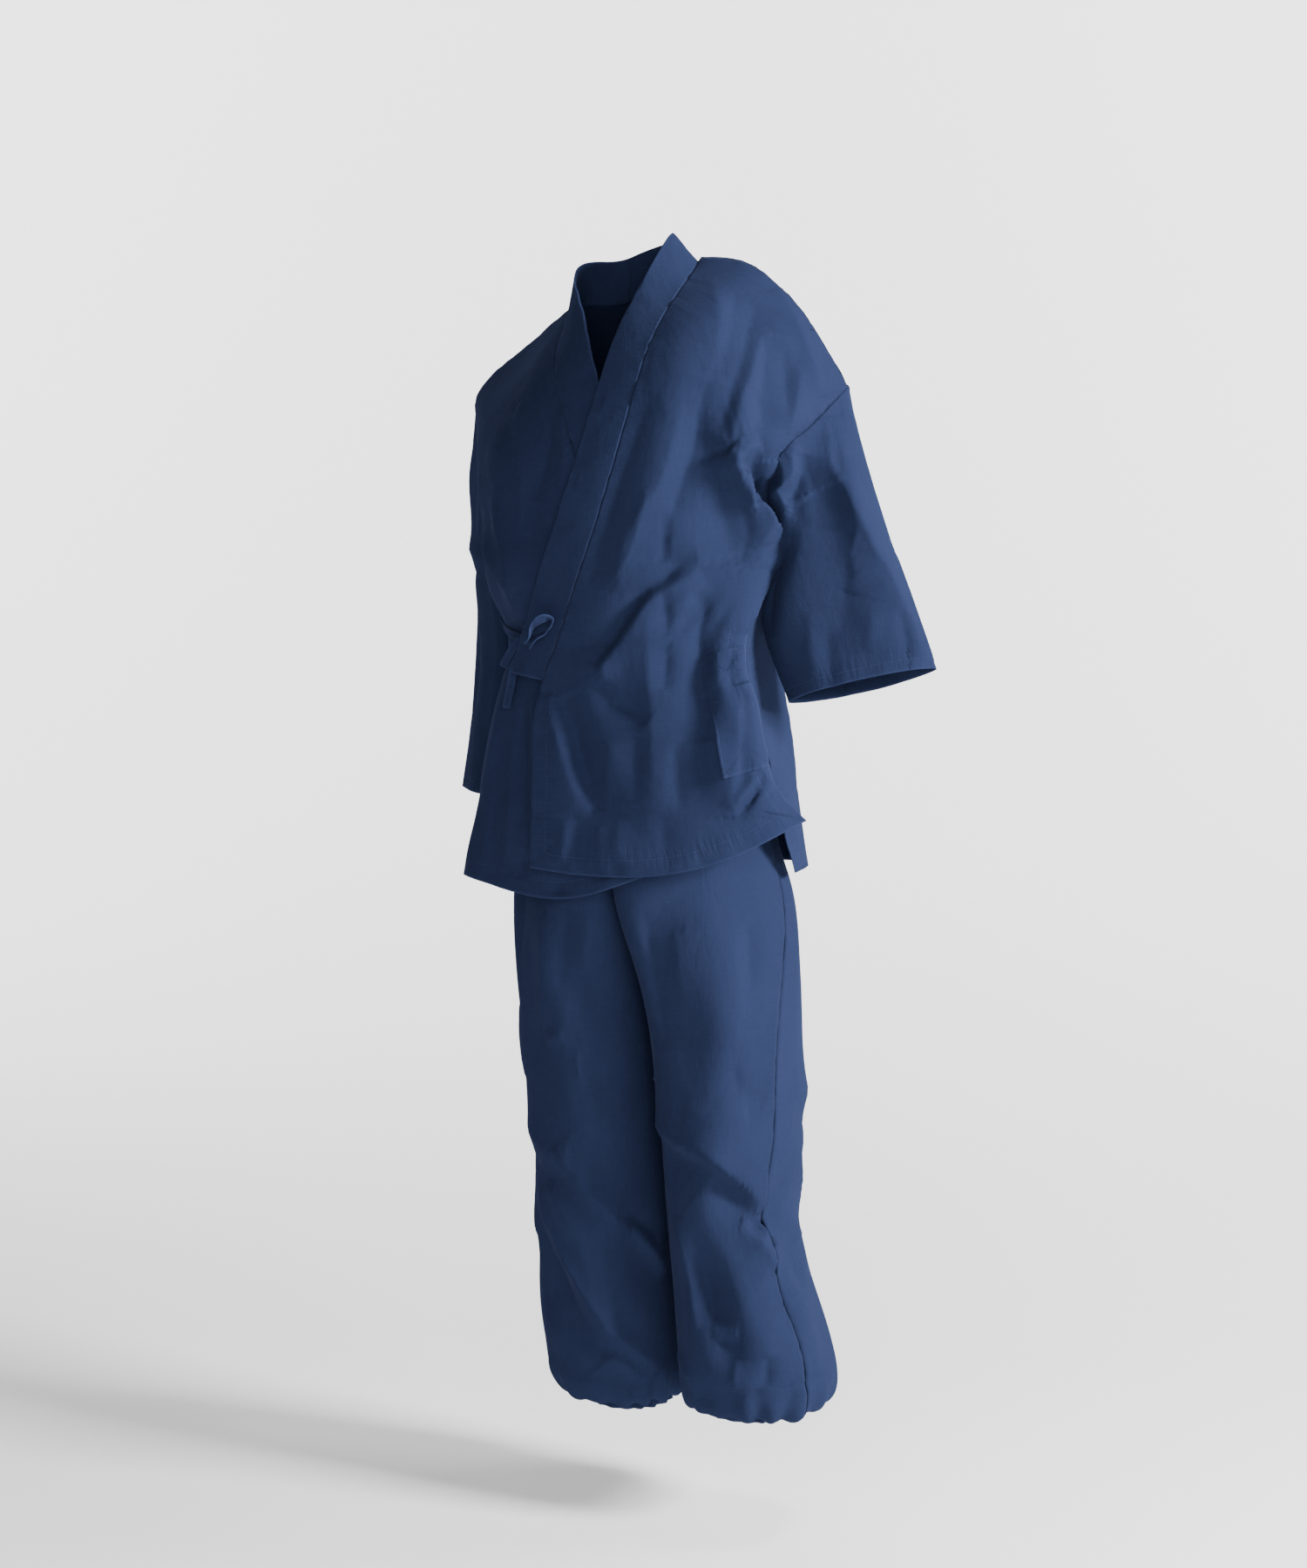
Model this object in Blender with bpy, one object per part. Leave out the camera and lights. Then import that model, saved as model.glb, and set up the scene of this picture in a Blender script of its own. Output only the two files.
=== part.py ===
"""A samue: a cotton wrap jacket and gathered trousers, hollow, in the pose in which they are worn.

Metres, +Z up. The wearer faces -Y and the wearer's left is +X. The origin is at the base of the neck,
between the two points where the collar crosses the shoulders, so most heights are negative.
"""

import math

import bmesh
import bpy
import numpy as np

# Driving sizes, in metres
CLOTH = 0.0014
COLLAR_CLOTH = 0.0026
SEAM_GAP = 0.0003
SEAM_REACH = 0.004
SEAM_TURN = 0.12
SEAM_TURNED = -0.3
SHOULDER_NOTCH = 0.007
COLLAR_WIDTH = 0.050
OVERLAP_LIFT = 0.011

# Posture: the neck opening tips down to the wearer's right, and the right shoulder is held back
NECK_TIP = math.radians(18.5)
SHOULDER_BACK = 0.050


def table(columns, *rows):
    """A short table of sections as one array for each named column."""
    return {name: np.array(values, float) for name, values in zip(columns.split(), zip(*rows))}


def read(sections, column, where):
    """The smooth curve through one column of a table, read at the places given."""
    key, value = sections["level"], sections[column]
    slope = np.gradient(value, key)
    where = np.clip(np.asarray(where, float), key[0], key[-1])
    k = np.clip(np.searchsorted(key, where, side="right") - 1, 0, len(key) - 2)
    span = key[k + 1] - key[k]
    f = (where - key[k]) / span
    return (
        value[k] * (1 + 2 * f) * (1 - f) ** 2
        + value[k + 1] * f * f * (3 - 2 * f)
        + span * (slope[k] * f * (1 - f) ** 2 - slope[k + 1] * f * f * (1 - f))
    )


def ease(f):
    """Rises smoothly from 0 to 1 as f does."""
    f = np.clip(f, 0.0, 1.0)
    return f * f * (3 - 2 * f)


LEAN = table(
    "level shift",
    (-1.36, 0.088),
    (-1.00, 0.052),
    (-0.70, 0.026),
    (-0.40, 0.012),
    (0.00, 0.000),
    (0.08, -0.004),
)


def posed(points):
    """The plain form moved into the wearer's pose: the lean of the body and the set of the shoulders."""
    p = np.array(points, float)
    x, y, z = p[..., 0].copy(), p[..., 1].copy(), p[..., 2].copy()
    tip = ease((z + 0.34) / 0.28) * (1 - 0.85 * ease((np.abs(x) - 0.12) / 0.15))
    held_back = ease((z + 0.40) / 0.25) * (np.minimum(x, 0.0) / 0.26) ** 2
    p[..., 0] = x + read(LEAN, "shift", z)
    p[..., 1] = y + SHOULDER_BACK * held_back
    p[..., 2] = z + x * math.tan(NECK_TIP) * tip
    return p


def folded(rows, angle, level, per_degree, per_level):
    """Height of the folds at a place on the cloth. A fold runs from one place to another and bows to one
    side. It falls away over its near and its far width on either side, and fades at its ends."""
    angle, level = np.broadcast_arrays(np.asarray(angle, float), np.asarray(level, float))
    total = np.zeros(angle.shape)
    for start_angle, start_level, end_angle, end_level, bow, near, far, height in rows:
        run = (end_angle - start_angle) * per_degree, (end_level - start_level) * per_level
        length = math.hypot(*run)
        u, v = (angle - start_angle) * per_degree, (level - start_level) * per_level
        along = (u * run[0] + v * run[1]) / length**2
        across = (v * run[0] - u * run[1]) / length - bow * 4 * along * (1 - along)
        width = np.where(across < 0, near, far)
        ends = ease((along + 0.1) / 0.3) * ease((1.1 - along) / 0.3)
        total += height * np.exp(-((across / width) ** 2)) * ends
    return total


def outward(point, angle, level, step_angle=0.5, step_level=0.004):
    """Unit normals of a form given as point(angle, level), from small steps along it."""
    du = point(angle + step_angle, level) - point(angle - step_angle, level)
    dv = point(angle, level + step_level) - point(angle, level - step_level)
    n = np.cross(du, dv)
    return n / np.maximum(np.linalg.norm(n, axis=-1, keepdims=True), 1e-12)


# The jacket's middle, from the hem, level 0, to the shoulder line, level 1
MIDDLE = table(
    "level front_y front_z back_y back_z",
    (0.00, -0.158, -0.684, 0.140, -0.700),
    (0.13, -0.152, -0.602, 0.134, -0.612),
    (0.25, -0.146, -0.522, 0.124, -0.525),
    (0.36, -0.138, -0.440, 0.116, -0.440),
    (0.48, -0.138, -0.345, 0.122, -0.345),
    (0.60, -0.136, -0.262, 0.132, -0.255),
    (0.72, -0.124, -0.170, 0.138, -0.160),
    (0.85, -0.086, -0.072, 0.122, -0.050),
    (1.00, 0.016, 0.010, 0.016, 0.010),
)

# Its sides: below the slit's top the front and the back hang free, from there to the armpit they share
# the side seam, and above the armpit they part again round the armhole. round squares the back's turn.
SLIT_TOP = 0.36
ARMPIT = 0.60
LEFT_SIDE = table(
    "level front_x front_y front_z back_x back_y back_z round",
    (0.00, 0.232, -0.060, -0.619, 0.194, -0.010, -0.690, 0.72),
    (0.13, 0.206, -0.092, -0.570, 0.190, -0.046, -0.605, 0.60),
    (0.25, 0.190, -0.098, -0.495, 0.182, -0.074, -0.515, 0.52),
    (0.36, 0.171, -0.092, -0.418, 0.171, -0.092, -0.418, 0.55),
    (0.48, 0.181, -0.040, -0.335, 0.181, -0.040, -0.335, 1.15),
    (0.60, 0.178, -0.020, -0.284, 0.178, -0.020, -0.284, 1.15),
    (0.72, 0.203, -0.048, -0.215, 0.206, 0.080, -0.238, 0.86),
    (0.85, 0.232, -0.012, -0.175, 0.236, 0.095, -0.200, 0.86),
    (1.00, 0.258, 0.040, -0.129, 0.258, 0.040, -0.129, 0.86),
)
RIGHT_SIDE = table(
    "level front_x front_y front_z back_x back_y back_z round",
    (0.00, 0.234, -0.010, -0.715, 0.216, 0.030, -0.712, 0.86),
    (0.13, 0.206, 0.000, -0.627, 0.198, 0.026, -0.622, 0.86),
    (0.25, 0.181, 0.004, -0.530, 0.181, 0.012, -0.530, 0.86),
    (0.36, 0.162, 0.000, -0.436, 0.162, 0.000, -0.436, 0.70),
    (0.48, 0.190, 0.000, -0.350, 0.190, 0.000, -0.350, 1.05),
    (0.60, 0.187, 0.004, -0.290, 0.187, 0.004, -0.290, 1.10),
    (0.72, 0.196, -0.034, -0.236, 0.200, 0.080, -0.246, 0.95),
    (0.85, 0.218, -0.010, -0.182, 0.226, 0.095, -0.202, 0.86),
    (1.00, 0.258, 0.040, -0.134, 0.258, 0.040, -0.134, 0.86),
)
SHOULDER_SLOPE = 2.6
FRONT_ROUNDNESS = 0.86
RIGHT_HEM_DROP = 0.034
BODY_PER_DEGREE = 0.0031
BODY_PER_LEVEL = 0.72

# Angle of each front's edge, at its collar seam, from the middle of the front
LEFT_EDGE = table(
    "level angle",
    (0.00, -19.5),
    (0.20, -21.0),
    (0.32, -20.5),
    (0.43, -8.0),
    (0.52, 0.0),
    (0.61, 7.0),
    (0.69, 12.2),
    (0.76, 15.5),
    (0.83, 17.6),
    (0.91, 19.0),
    (1.00, 19.2),
)
RIGHT_EDGE = table(
    "level angle",
    (0.00, 30.0),
    (0.20, 28.0),
    (0.32, 24.0),
    (0.43, 15.0),
    (0.52, 8.0),
    (0.61, 1.5),
    (0.69, -5.0),
    (0.76, -11.0),
    (0.83, -16.0),
    (0.91, -19.2),
    (1.00, -19.2),
)
COLLAR_END = 0.33
COLLAR_END_SLANT = 0.32
NECK_ANGLE = 19.2
BACK_NECK_DIP = 0.06

# The patch pocket, between two of the left front's columns, 0 at the front edge and 1 at the side
POCKET_FROM, POCKET_TO = 0.655, 0.985
POCKET_BOTTOM, POCKET_TOP = 0.165, 0.365
POCKET_MOUTH = 0.0035

# The places of the jacket's columns and rows
FRONT_SHARES = np.concatenate((np.linspace(0, 0.56, 8), np.linspace(POCKET_FROM, POCKET_TO, 5), (1.0,)))
BACK_ANGLES = np.concatenate(((0.0, 5.0, 10.0, 14.6), NECK_ANGLE + (89.9 - NECK_ANGLE) * FRONT_SHARES))
BODY_LEVELS = np.concatenate(
    (
        np.linspace(0, POCKET_BOTTOM, 5)[:-1],
        np.linspace(POCKET_BOTTOM, POCKET_TOP, 7),
        np.linspace(0.40, 0.9995, 16),
    )
)

# The folds' rows: angle and level where a fold starts, angle and level where it ends, its bow, its
# width on the near and on the far side, and its height, - for a trough
LEFT_FRONT_FOLDS = (
    (44, 0.94, 55, 0.76, 0.004, 0.012, 0.015, -0.008),
    (49, 0.92, 61, 0.73, 0.003, 0.012, 0.012, 0.008),
    (53, 0.91, 64, 0.77, 0.003, 0.010, 0.014, -0.008),
    (56, 0.72, 76, 0.53, 0.010, 0.030, 0.014, 0.015),
    (64, 0.72, 80, 0.62, 0.000, 0.012, 0.020, -0.014),
    (39, 0.54, 19, 0.49, 0.003, 0.012, 0.018, -0.006),
    (44, 0.52, 22, 0.47, 0.000, 0.014, 0.012, 0.006),
    (43, 0.48, 56, 0.38, 0.003, 0.015, 0.014, -0.008),
    (36, 0.48, 48, 0.36, 0.000, 0.020, 0.014, 0.006),
    (-17, 0.33, 17, 0.08, -0.006, 0.030, 0.016, -0.008),
    (-8, 0.36, 28, 0.12, -0.004, 0.024, 0.024, 0.006),
    (-7, 0.09, -9, -0.02, 0.000, 0.010, 0.012, -0.004),
    (73, 0.37, 53, 0.07, 0.000, 0.014, 0.020, -0.010),
    (63, 0.37, 45, 0.09, 0.000, 0.014, 0.012, 0.007),
    (53, 0.37, 36, 0.12, 0.000, 0.018, 0.015, -0.007),
    (53, 0.08, 88, 0.15, 0.002, 0.014, 0.018, 0.007),
    (31, 0.90, 24, 0.60, 0.004, 0.030, 0.026, 0.005),
    (39, 0.84, 38, 0.60, 0.000, 0.024, 0.030, -0.004),
    (-4, 0.42, 30, 0.50, 0.004, 0.020, 0.018, 0.004),
    (20, 0.40, 14, 0.16, 0.004, 0.030, 0.020, -0.004),
)
RIGHT_FRONT_FOLDS = (
    (-66, 0.56, -27, 0.42, 0.008, 0.020, 0.034, 0.012),
    (-88, 0.39, -24, 0.39, 0.000, 0.018, 0.014, -0.009),
    (-30, 0.78, -27, 0.52, 0.006, 0.020, 0.026, -0.006),
    (-46, 0.82, -42, 0.56, 0.004, 0.026, 0.020, 0.006),
    (-36, 0.34, -40, -0.03, 0.003, 0.016, 0.022, -0.008),
    (-55, 0.34, -62, -0.03, 0.000, 0.022, 0.020, 0.010),
    (-72, 0.34, -76, -0.03, 0.000, 0.016, 0.016, -0.006),
)
BACK_FOLDS = (
    (-36, 0.88, -22, 0.50, 0.006, 0.022, 0.030, -0.007),
    (-50, 0.84, -42, 0.52, 0.004, 0.024, 0.020, 0.007),
    (30, 0.86, 36, 0.56, 0.004, 0.030, 0.022, -0.006),
    (52, 0.80, 44, 0.50, 0.006, 0.020, 0.026, 0.008),
    (-2, 0.80, 6, 0.55, 0.003, 0.030, 0.024, 0.004),
    (-72, 0.40, -14, 0.47, 0.006, 0.020, 0.030, 0.009),
    (-66, 0.37, 10, 0.40, 0.004, 0.018, 0.016, -0.008),
    (62, 0.40, 14, 0.46, 0.004, 0.024, 0.018, -0.006),
    (-58, 0.31, -64, -0.03, 0.000, 0.022, 0.020, 0.010),
    (-34, 0.32, -30, -0.03, 0.004, 0.020, 0.028, -0.008),
    (-6, 0.34, 2, -0.03, 0.000, 0.030, 0.024, 0.007),
    (26, 0.30, 30, -0.03, 0.003, 0.018, 0.024, -0.007),
    (52, 0.33, 50, -0.03, 0.000, 0.024, 0.020, 0.008),
)


def side_edge(side, sheet, axis, level):
    """Where the front's or the back's side edge is. Along the side seam both have the same."""
    own = read(side, sheet + axis, level)
    shared = (read(side, "front_" + axis, level) + read(side, "back_" + axis, level)) / 2
    return np.where((level > SLIT_TOP) & (level < ARMPIT), shared, own)


def front_form(side, angle, level):
    """A point of a front's plain form. The angle is from the middle, + to the wearer's left."""
    t = np.radians(angle)
    edge_x, edge_y, edge_z = (side_edge(side, "front_", axis, level) for axis in "xyz")
    mid_y, mid_z = read(MIDDLE, "front_y", level), read(MIDDLE, "front_z", level)
    x = edge_x * np.sin(t)
    y = edge_y + (mid_y - edge_y) * np.clip(np.cos(t), 0, 1) ** FRONT_ROUNDNESS
    z = mid_z + (edge_z - mid_z) * np.abs(np.sin(t)) ** SHOULDER_SLOPE
    return np.stack(np.broadcast_arrays(x, y, z), -1)


def left_form(angle, level):
    return front_form(LEFT_SIDE, angle, level)


def right_form(angle, level):
    """The inner front's form, whose hem hangs below the outer one's."""
    point = front_form(RIGHT_SIDE, angle, level)
    drop = RIGHT_HEM_DROP * ease((25.0 - angle) / 40.0) * ease((70.0 + angle) / 60.0)
    point[..., 2] -= drop * ease((0.30 - level) / 0.30)
    return point


def back_form(angle, level):
    """A point of the back's plain form, with the left side's table for + angles and the right's for -."""
    t = np.radians(angle)
    at_left = np.asarray(angle) >= 0

    def at_side(value):
        return np.where(at_left, value(LEFT_SIDE), value(RIGHT_SIDE))

    edge_x, edge_y, edge_z = (
        at_side(lambda side, axis=axis: side_edge(side, "back_", axis, level)) for axis in "xyz"
    )
    turn = at_side(lambda side: read(side, "round", level))
    mid_y, mid_z = read(MIDDLE, "back_y", level), read(MIDDLE, "back_z", level)
    x = edge_x * np.sin(t)
    y = edge_y + (mid_y - edge_y) * np.clip(np.cos(t), 0, 1) ** turn
    z = mid_z + (edge_z - mid_z) * np.abs(np.sin(t)) ** SHOULDER_SLOPE
    return np.stack(np.broadcast_arrays(x, y, z), -1)


def off_form(form, angle, level, height, outer=1.0):
    """The form moved out along its normal, measured just inside the sides, by a height."""
    normal = outward(form, np.clip(angle, -88.0, 88.0), np.clip(level, 0.0, 0.99))
    return form(angle, level) + outer * normal * np.asarray(height)[..., None]


def held_at_seams(angle, level):
    """1 on the open cloth and 0 at the side seam, the armhole and the shoulder, where nothing folds."""
    side = ease((np.abs(angle) - 72.0) / 17.0) * ease((level - SLIT_TOP + 0.06) / 0.06)
    return (1 - side) * ease((1.0 - level) / 0.08)


def jacket_folds(rows, angle, level):
    return folded(rows, angle, level, BODY_PER_DEGREE, BODY_PER_LEVEL) * held_at_seams(angle, level)


def left_front(angle, level, out=0.0):
    """The outer front. It lifts off the body towards its free edge, where it lies on the right front."""
    lift = OVERLAP_LIFT * ease((60.0 - angle) / 50.0) * ease((0.98 - level) / 0.2)
    return off_form(left_form, angle, level, lift + jacket_folds(LEFT_FRONT_FOLDS, angle, level) + out)


def right_front(angle, level, out=0.0):
    """The inner front. Where the outer one covers it, only the outer one's troughs press into it."""
    cover = read(LEFT_EDGE, "angle", level) - 16.0
    hidden = ease((angle - cover + 6.0) / 10.0)
    own = jacket_folds(RIGHT_FRONT_FOLDS, angle, level) * (1 - hidden)
    pressed = np.minimum(jacket_folds(LEFT_FRONT_FOLDS, angle, level), 0.0) * hidden
    return off_form(right_form, angle, level, own + pressed + out)


def back(angle, level, out=0.0):
    """The back, whose form's normals point inward."""
    return off_form(back_form, angle, level, jacket_folds(BACK_FOLDS, angle, level) + out, -1.0)


# The trousers' sections from the ankle, level 0, to the waist, level 1, one table for each leg.
# outer and inner are x at the outseam's side and at the inseam, or at the middle above the crotch.
LEFT_LEG = table(
    "level z outer inner outer_y inner_front_y inner_back_y front_y back_y seam",
    (0.000, -1.334, 0.134, 0.028, -0.010, -0.010, -0.010, -0.066, 0.040, 60),
    (0.018, -1.343, 0.168, 0.010, -0.010, -0.012, -0.012, -0.095, 0.064, 60),
    (0.050, -1.314, 0.190, 0.002, -0.012, -0.014, -0.012, -0.112, 0.082, 60),
    (0.100, -1.262, 0.184, 0.002, -0.012, -0.014, -0.010, -0.112, 0.086, 60),
    (0.200, -1.170, 0.160, 0.003, -0.010, -0.012, -0.006, -0.106, 0.082, 60),
    (0.260, -1.110, 0.150, 0.003, -0.008, -0.010, -0.004, -0.104, 0.084, 60),
    (0.350, -1.015, 0.170, 0.003, -0.002, -0.008, -0.002, -0.102, 0.086, 60),
    (0.480, -0.895, 0.178, 0.002, 0.000, -0.008, 0.000, -0.108, 0.096, 66),
    (0.560, -0.820, 0.182, 0.001, 0.002, -0.020, 0.012, -0.116, 0.108, 72),
    (0.640, -0.745, 0.184, 0.0004, 0.004, -0.082, 0.070, -0.114, 0.112, 76),
    (0.760, -0.650, 0.163, 0.0004, 0.004, -0.108, 0.100, -0.102, 0.098, 80),
    (0.900, -0.530, 0.148, 0.0004, 0.002, -0.102, 0.093, -0.094, 0.088, 86),
    (1.000, -0.450, 0.140, 0.0004, 0.000, -0.098, 0.091, -0.090, 0.0858, 90),
)
RIGHT_LEG = table(
    "level z outer inner outer_y inner_front_y inner_back_y front_y back_y seam",
    (0.000, -1.346, -0.140, -0.040, 0.010, 0.010, 0.010, -0.046, 0.060, 90),
    (0.018, -1.353, -0.160, -0.024, 0.010, 0.010, 0.010, -0.075, 0.084, 90),
    (0.050, -1.330, -0.182, -0.014, 0.010, 0.010, 0.012, -0.092, 0.102, 90),
    (0.100, -1.285, -0.189, -0.012, 0.010, 0.010, 0.014, -0.094, 0.106, 90),
    (0.200, -1.180, -0.185, -0.010, 0.008, 0.008, 0.012, -0.092, 0.102, 90),
    (0.260, -1.110, -0.182, -0.008, 0.008, 0.006, 0.010, -0.094, 0.100, 90),
    (0.350, -1.020, -0.175, -0.006, 0.006, 0.004, 0.008, -0.096, 0.098, 90),
    (0.480, -0.898, -0.170, -0.002, 0.004, -0.006, 0.004, -0.106, 0.100, 90),
    (0.560, -0.822, -0.174, -0.001, 0.002, -0.020, 0.012, -0.115, 0.108, 90),
    (0.640, -0.746, -0.180, -0.0004, 0.004, -0.082, 0.070, -0.114, 0.112, 90),
    (0.760, -0.650, -0.166, -0.0004, 0.004, -0.108, 0.100, -0.102, 0.098, 90),
    (0.900, -0.530, -0.148, -0.0004, 0.002, -0.102, 0.093, -0.094, 0.088, 90),
    (1.000, -0.450, -0.138, -0.0004, 0.000, -0.098, 0.091, -0.090, 0.0858, 90),
)
LEG_PER_DEGREE = 0.0017
LEG_PER_LEVEL = 0.90
LEG_ROUNDNESS = 0.85
LEG_LEVELS = np.concatenate(
    ((0.0, 0.010, 0.022, 0.036, 0.048, 0.060, 0.072, 0.090), np.linspace(0.12, 1.0, 20))
)
ANKLE_GATHERS = 16
WAIST_GATHERS = 20

LEFT_LEG_FOLDS = (
    (-44, 0.375, 38, 0.288, 0.003, 0.016, 0.022, -0.011),
    (-24, 0.335, 62, 0.250, 0.004, 0.016, 0.016, 0.010),
    (12, 0.326, 100, 0.225, 0.004, 0.014, 0.020, -0.010),
    (-8, 0.235, 9, 0.060, 0.004, 0.016, 0.016, -0.009),
    (-24, 0.240, -14, 0.080, 0.000, 0.018, 0.016, 0.008),
    (14, 0.230, 30, 0.090, 0.003, 0.016, 0.018, 0.008),
    (-4, 0.136, 22, 0.132, 0.002, 0.010, 0.010, -0.006),
    (51, 0.200, 62, 0.120, 0.003, 0.014, 0.014, -0.009),
    (-46, 0.055, 58, 0.072, -0.008, 0.009, 0.011, -0.006),
    (-46, 0.66, -22, 0.40, 0.006, 0.024, 0.020, 0.007),
    (-18, 0.68, -6, 0.44, 0.004, 0.018, 0.022, -0.007),
    (16, 0.70, 22, 0.42, 0.006, 0.026, 0.022, 0.006),
    (48, 0.66, 44, 0.36, 0.004, 0.020, 0.018, -0.005),
    (126, 0.380, 200, 0.300, 0.004, 0.018, 0.022, -0.010),
    (110, 0.300, 190, 0.230, 0.000, 0.018, 0.016, 0.009),
    (140, 0.210, 160, 0.060, 0.004, 0.016, 0.016, -0.009),
    (190, 0.220, 200, 0.070, 0.000, 0.018, 0.018, 0.008),
    (110, 0.660, 130, 0.420, 0.004, 0.024, 0.020, -0.007),
    (176, 0.600, 168, 0.400, 0.004, 0.022, 0.022, 0.007),
    (100, 0.060, 250, 0.070, 0.000, 0.010, 0.011, -0.005),
)
RIGHT_LEG_FOLDS = (
    (46, 0.288, -66, 0.078, 0.006, 0.018, 0.020, -0.011),
    (36, 0.330, -46, 0.160, 0.004, 0.020, 0.018, 0.010),
    (-44, 0.235, -74, 0.180, 0.000, 0.014, 0.014, -0.008),
    (64, 0.180, 6, 0.090, 0.004, 0.018, 0.018, 0.008),
    (56, 0.095, -62, 0.045, -0.006, 0.009, 0.011, -0.006),
    (-20, 0.475, -24, 0.405, 0.000, 0.012, 0.014, -0.007),
    (-8, 0.66, -12, 0.46, 0.004, 0.022, 0.020, 0.007),
    (-30, 0.66, -30, 0.50, 0.003, 0.018, 0.018, -0.006),
    (20, 0.66, 18, 0.38, 0.006, 0.020, 0.026, -0.006),
    (48, 0.62, 52, 0.34, 0.004, 0.026, 0.020, 0.006),
    (88, 0.40, 70, 0.22, 0.004, 0.018, 0.020, -0.008),
    (130, 0.370, 210, 0.290, 0.004, 0.018, 0.022, -0.010),
    (116, 0.300, 196, 0.220, 0.000, 0.018, 0.016, 0.009),
    (150, 0.200, 170, 0.060, 0.004, 0.016, 0.016, -0.009),
    (112, 0.650, 132, 0.400, 0.004, 0.024, 0.020, -0.007),
    (178, 0.590, 166, 0.390, 0.004, 0.022, 0.022, 0.007),
    (100, 0.060, 250, 0.060, 0.000, 0.010, 0.011, -0.005),
)


def leg(sections, angle, level):
    """A point of a leg's plain form. The angle is from the front, + to the outside, 180 at the back."""
    t = np.radians(angle)
    s, c = np.sin(t), np.cos(t)
    outer, inner, outer_y, front_y, back_y, z = (
        read(sections, k, level) for k in ("outer", "inner", "outer_y", "front_y", "back_y", "z")
    )
    inner_front_y, inner_back_y = (read(sections, k, level) for k in ("inner_front_y", "inner_back_y"))
    inner_y = np.where(c > 0, inner_front_y, inner_back_y)
    share = (1 + s) / 2
    chord_y = inner_y * (1 - share) + outer_y * share
    middle_y = (inner_y + outer_y) / 2
    reach = np.where(c > 0, front_y, back_y) - middle_y
    x = inner * (1 - share) + outer * share
    y = chord_y + reach * np.abs(c) ** LEG_ROUNDNESS
    return np.stack(np.broadcast_arrays(x, y, z), -1)


def gathered(angle, level):
    """The small waves that the elastic draws up at the ankle and at the waist."""
    ankle = 0.0032 * np.cos(np.radians(angle * ANKLE_GATHERS)) * ease((0.075 - level) / 0.075)
    waist = 0.0028 * np.cos(np.radians(angle * WAIST_GATHERS)) * ease((level - 0.86) / 0.12)
    return ankle + waist


def leg_cloth(sections, folds, angle, level):
    """A point of a trouser leg with its folds and gathers. Nothing folds where the legs face each other."""
    normal = outward(lambda a, v: leg(sections, a, v), angle, level)
    side = np.sign(sections["outer"][0])
    apart = 1 - ease((-np.sin(np.radians(angle)) - 0.72) / 0.22)
    turned = np.mod(np.asarray(angle) + 90.0, 360.0) - 90.0
    lift = folded(folds, turned, level, LEG_PER_DEGREE, LEG_PER_LEVEL) * ease((0.96 - level) / 0.1)
    lift = (lift + gathered(angle, level)) * apart
    return leg(sections, angle, level) + side * normal * lift[..., None]


# The sleeves' sections from the armhole, level 0, to the cuff, level 1.
# wide: half the size from the underarm to the top fold. deep: half the size from front to back.
# rise: how far, in degrees, the top fold is above the underarm. yaw turns the section about Z.
LEFT_SLEEVE = table(
    "level x y z wide deep rise yaw drop",
    (0.00, 0.219, 0.020, -0.210, 0.062, 0.066, 50, 0, 0.000),
    (0.25, 0.239, 0.012, -0.268, 0.071, 0.056, 30, 2, 0.000),
    (0.50, 0.252, -0.006, -0.334, 0.083, 0.046, 19, 6, 0.004),
    (0.75, 0.273, -0.018, -0.399, 0.088, 0.038, 15, 11, 0.008),
    (1.00, 0.297, -0.030, -0.461, 0.091, 0.032, 14, 14, 0.011),
)
RIGHT_SLEEVE = table(
    "level x y z wide deep rise yaw drop",
    (0.00, -0.222, 0.040, -0.215, 0.062, 0.066, 50, 0, 0.000),
    (0.25, -0.237, 0.064, -0.308, 0.043, 0.067, 32, -8, 0.000),
    (0.50, -0.232, 0.120, -0.405, 0.038, 0.068, 14, -18, 0.000),
    (0.75, -0.252, 0.126, -0.520, 0.037, 0.074, 6, -25, 0.000),
    (1.00, -0.276, 0.118, -0.630, 0.033, 0.080, 2, -25, 0.000),
)
SLEEVE_BLEND = 0.45
ARMHOLE_GAP = 0.0010
SLEEVE_PINCH = 0.35
SLEEVE_PER_DEGREE = 0.0011
SLEEVE_PER_LEVEL = 0.34

LEFT_SLEEVE_FOLDS = (
    (84, 0.04, 60, 0.30, 0.004, 0.010, 0.014, -0.012),
    (62, 0.06, 42, 0.32, 0.003, 0.014, 0.010, 0.010),
    (66, 0.28, 52, 0.62, 0.004, 0.014, 0.020, -0.006),
    (143, 0.12, 147, 0.98, 0.002, 0.010, 0.012, 0.004),
    (104, 0.30, 96, 1.05, 0.004, 0.024, 0.028, -0.006),
    (118, 0.06, 122, 0.55, 0.003, 0.016, 0.018, -0.005),
    (290, 0.05, 300, 0.45, 0.004, 0.014, 0.016, -0.009),
    (262, 0.10, 255, 0.80, 0.004, 0.022, 0.026, 0.006),
    (232, 0.20, 226, 1.02, 0.004, 0.020, 0.024, -0.006),
)
RIGHT_SLEEVE_FOLDS = (
    (70, 0.06, 50, 0.40, 0.004, 0.014, 0.016, -0.008),
    (120, 0.10, 128, 0.90, 0.004, 0.020, 0.024, -0.006),
    (160, 0.05, 176, 0.70, 0.003, 0.018, 0.018, 0.005),
    (300, 0.08, 310, 0.50, 0.004, 0.014, 0.016, -0.008),
    (240, 0.15, 230, 1.00, 0.004, 0.022, 0.026, -0.006),
    (200, 0.20, 208, 0.95, 0.000, 0.018, 0.020, 0.005),
)


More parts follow.
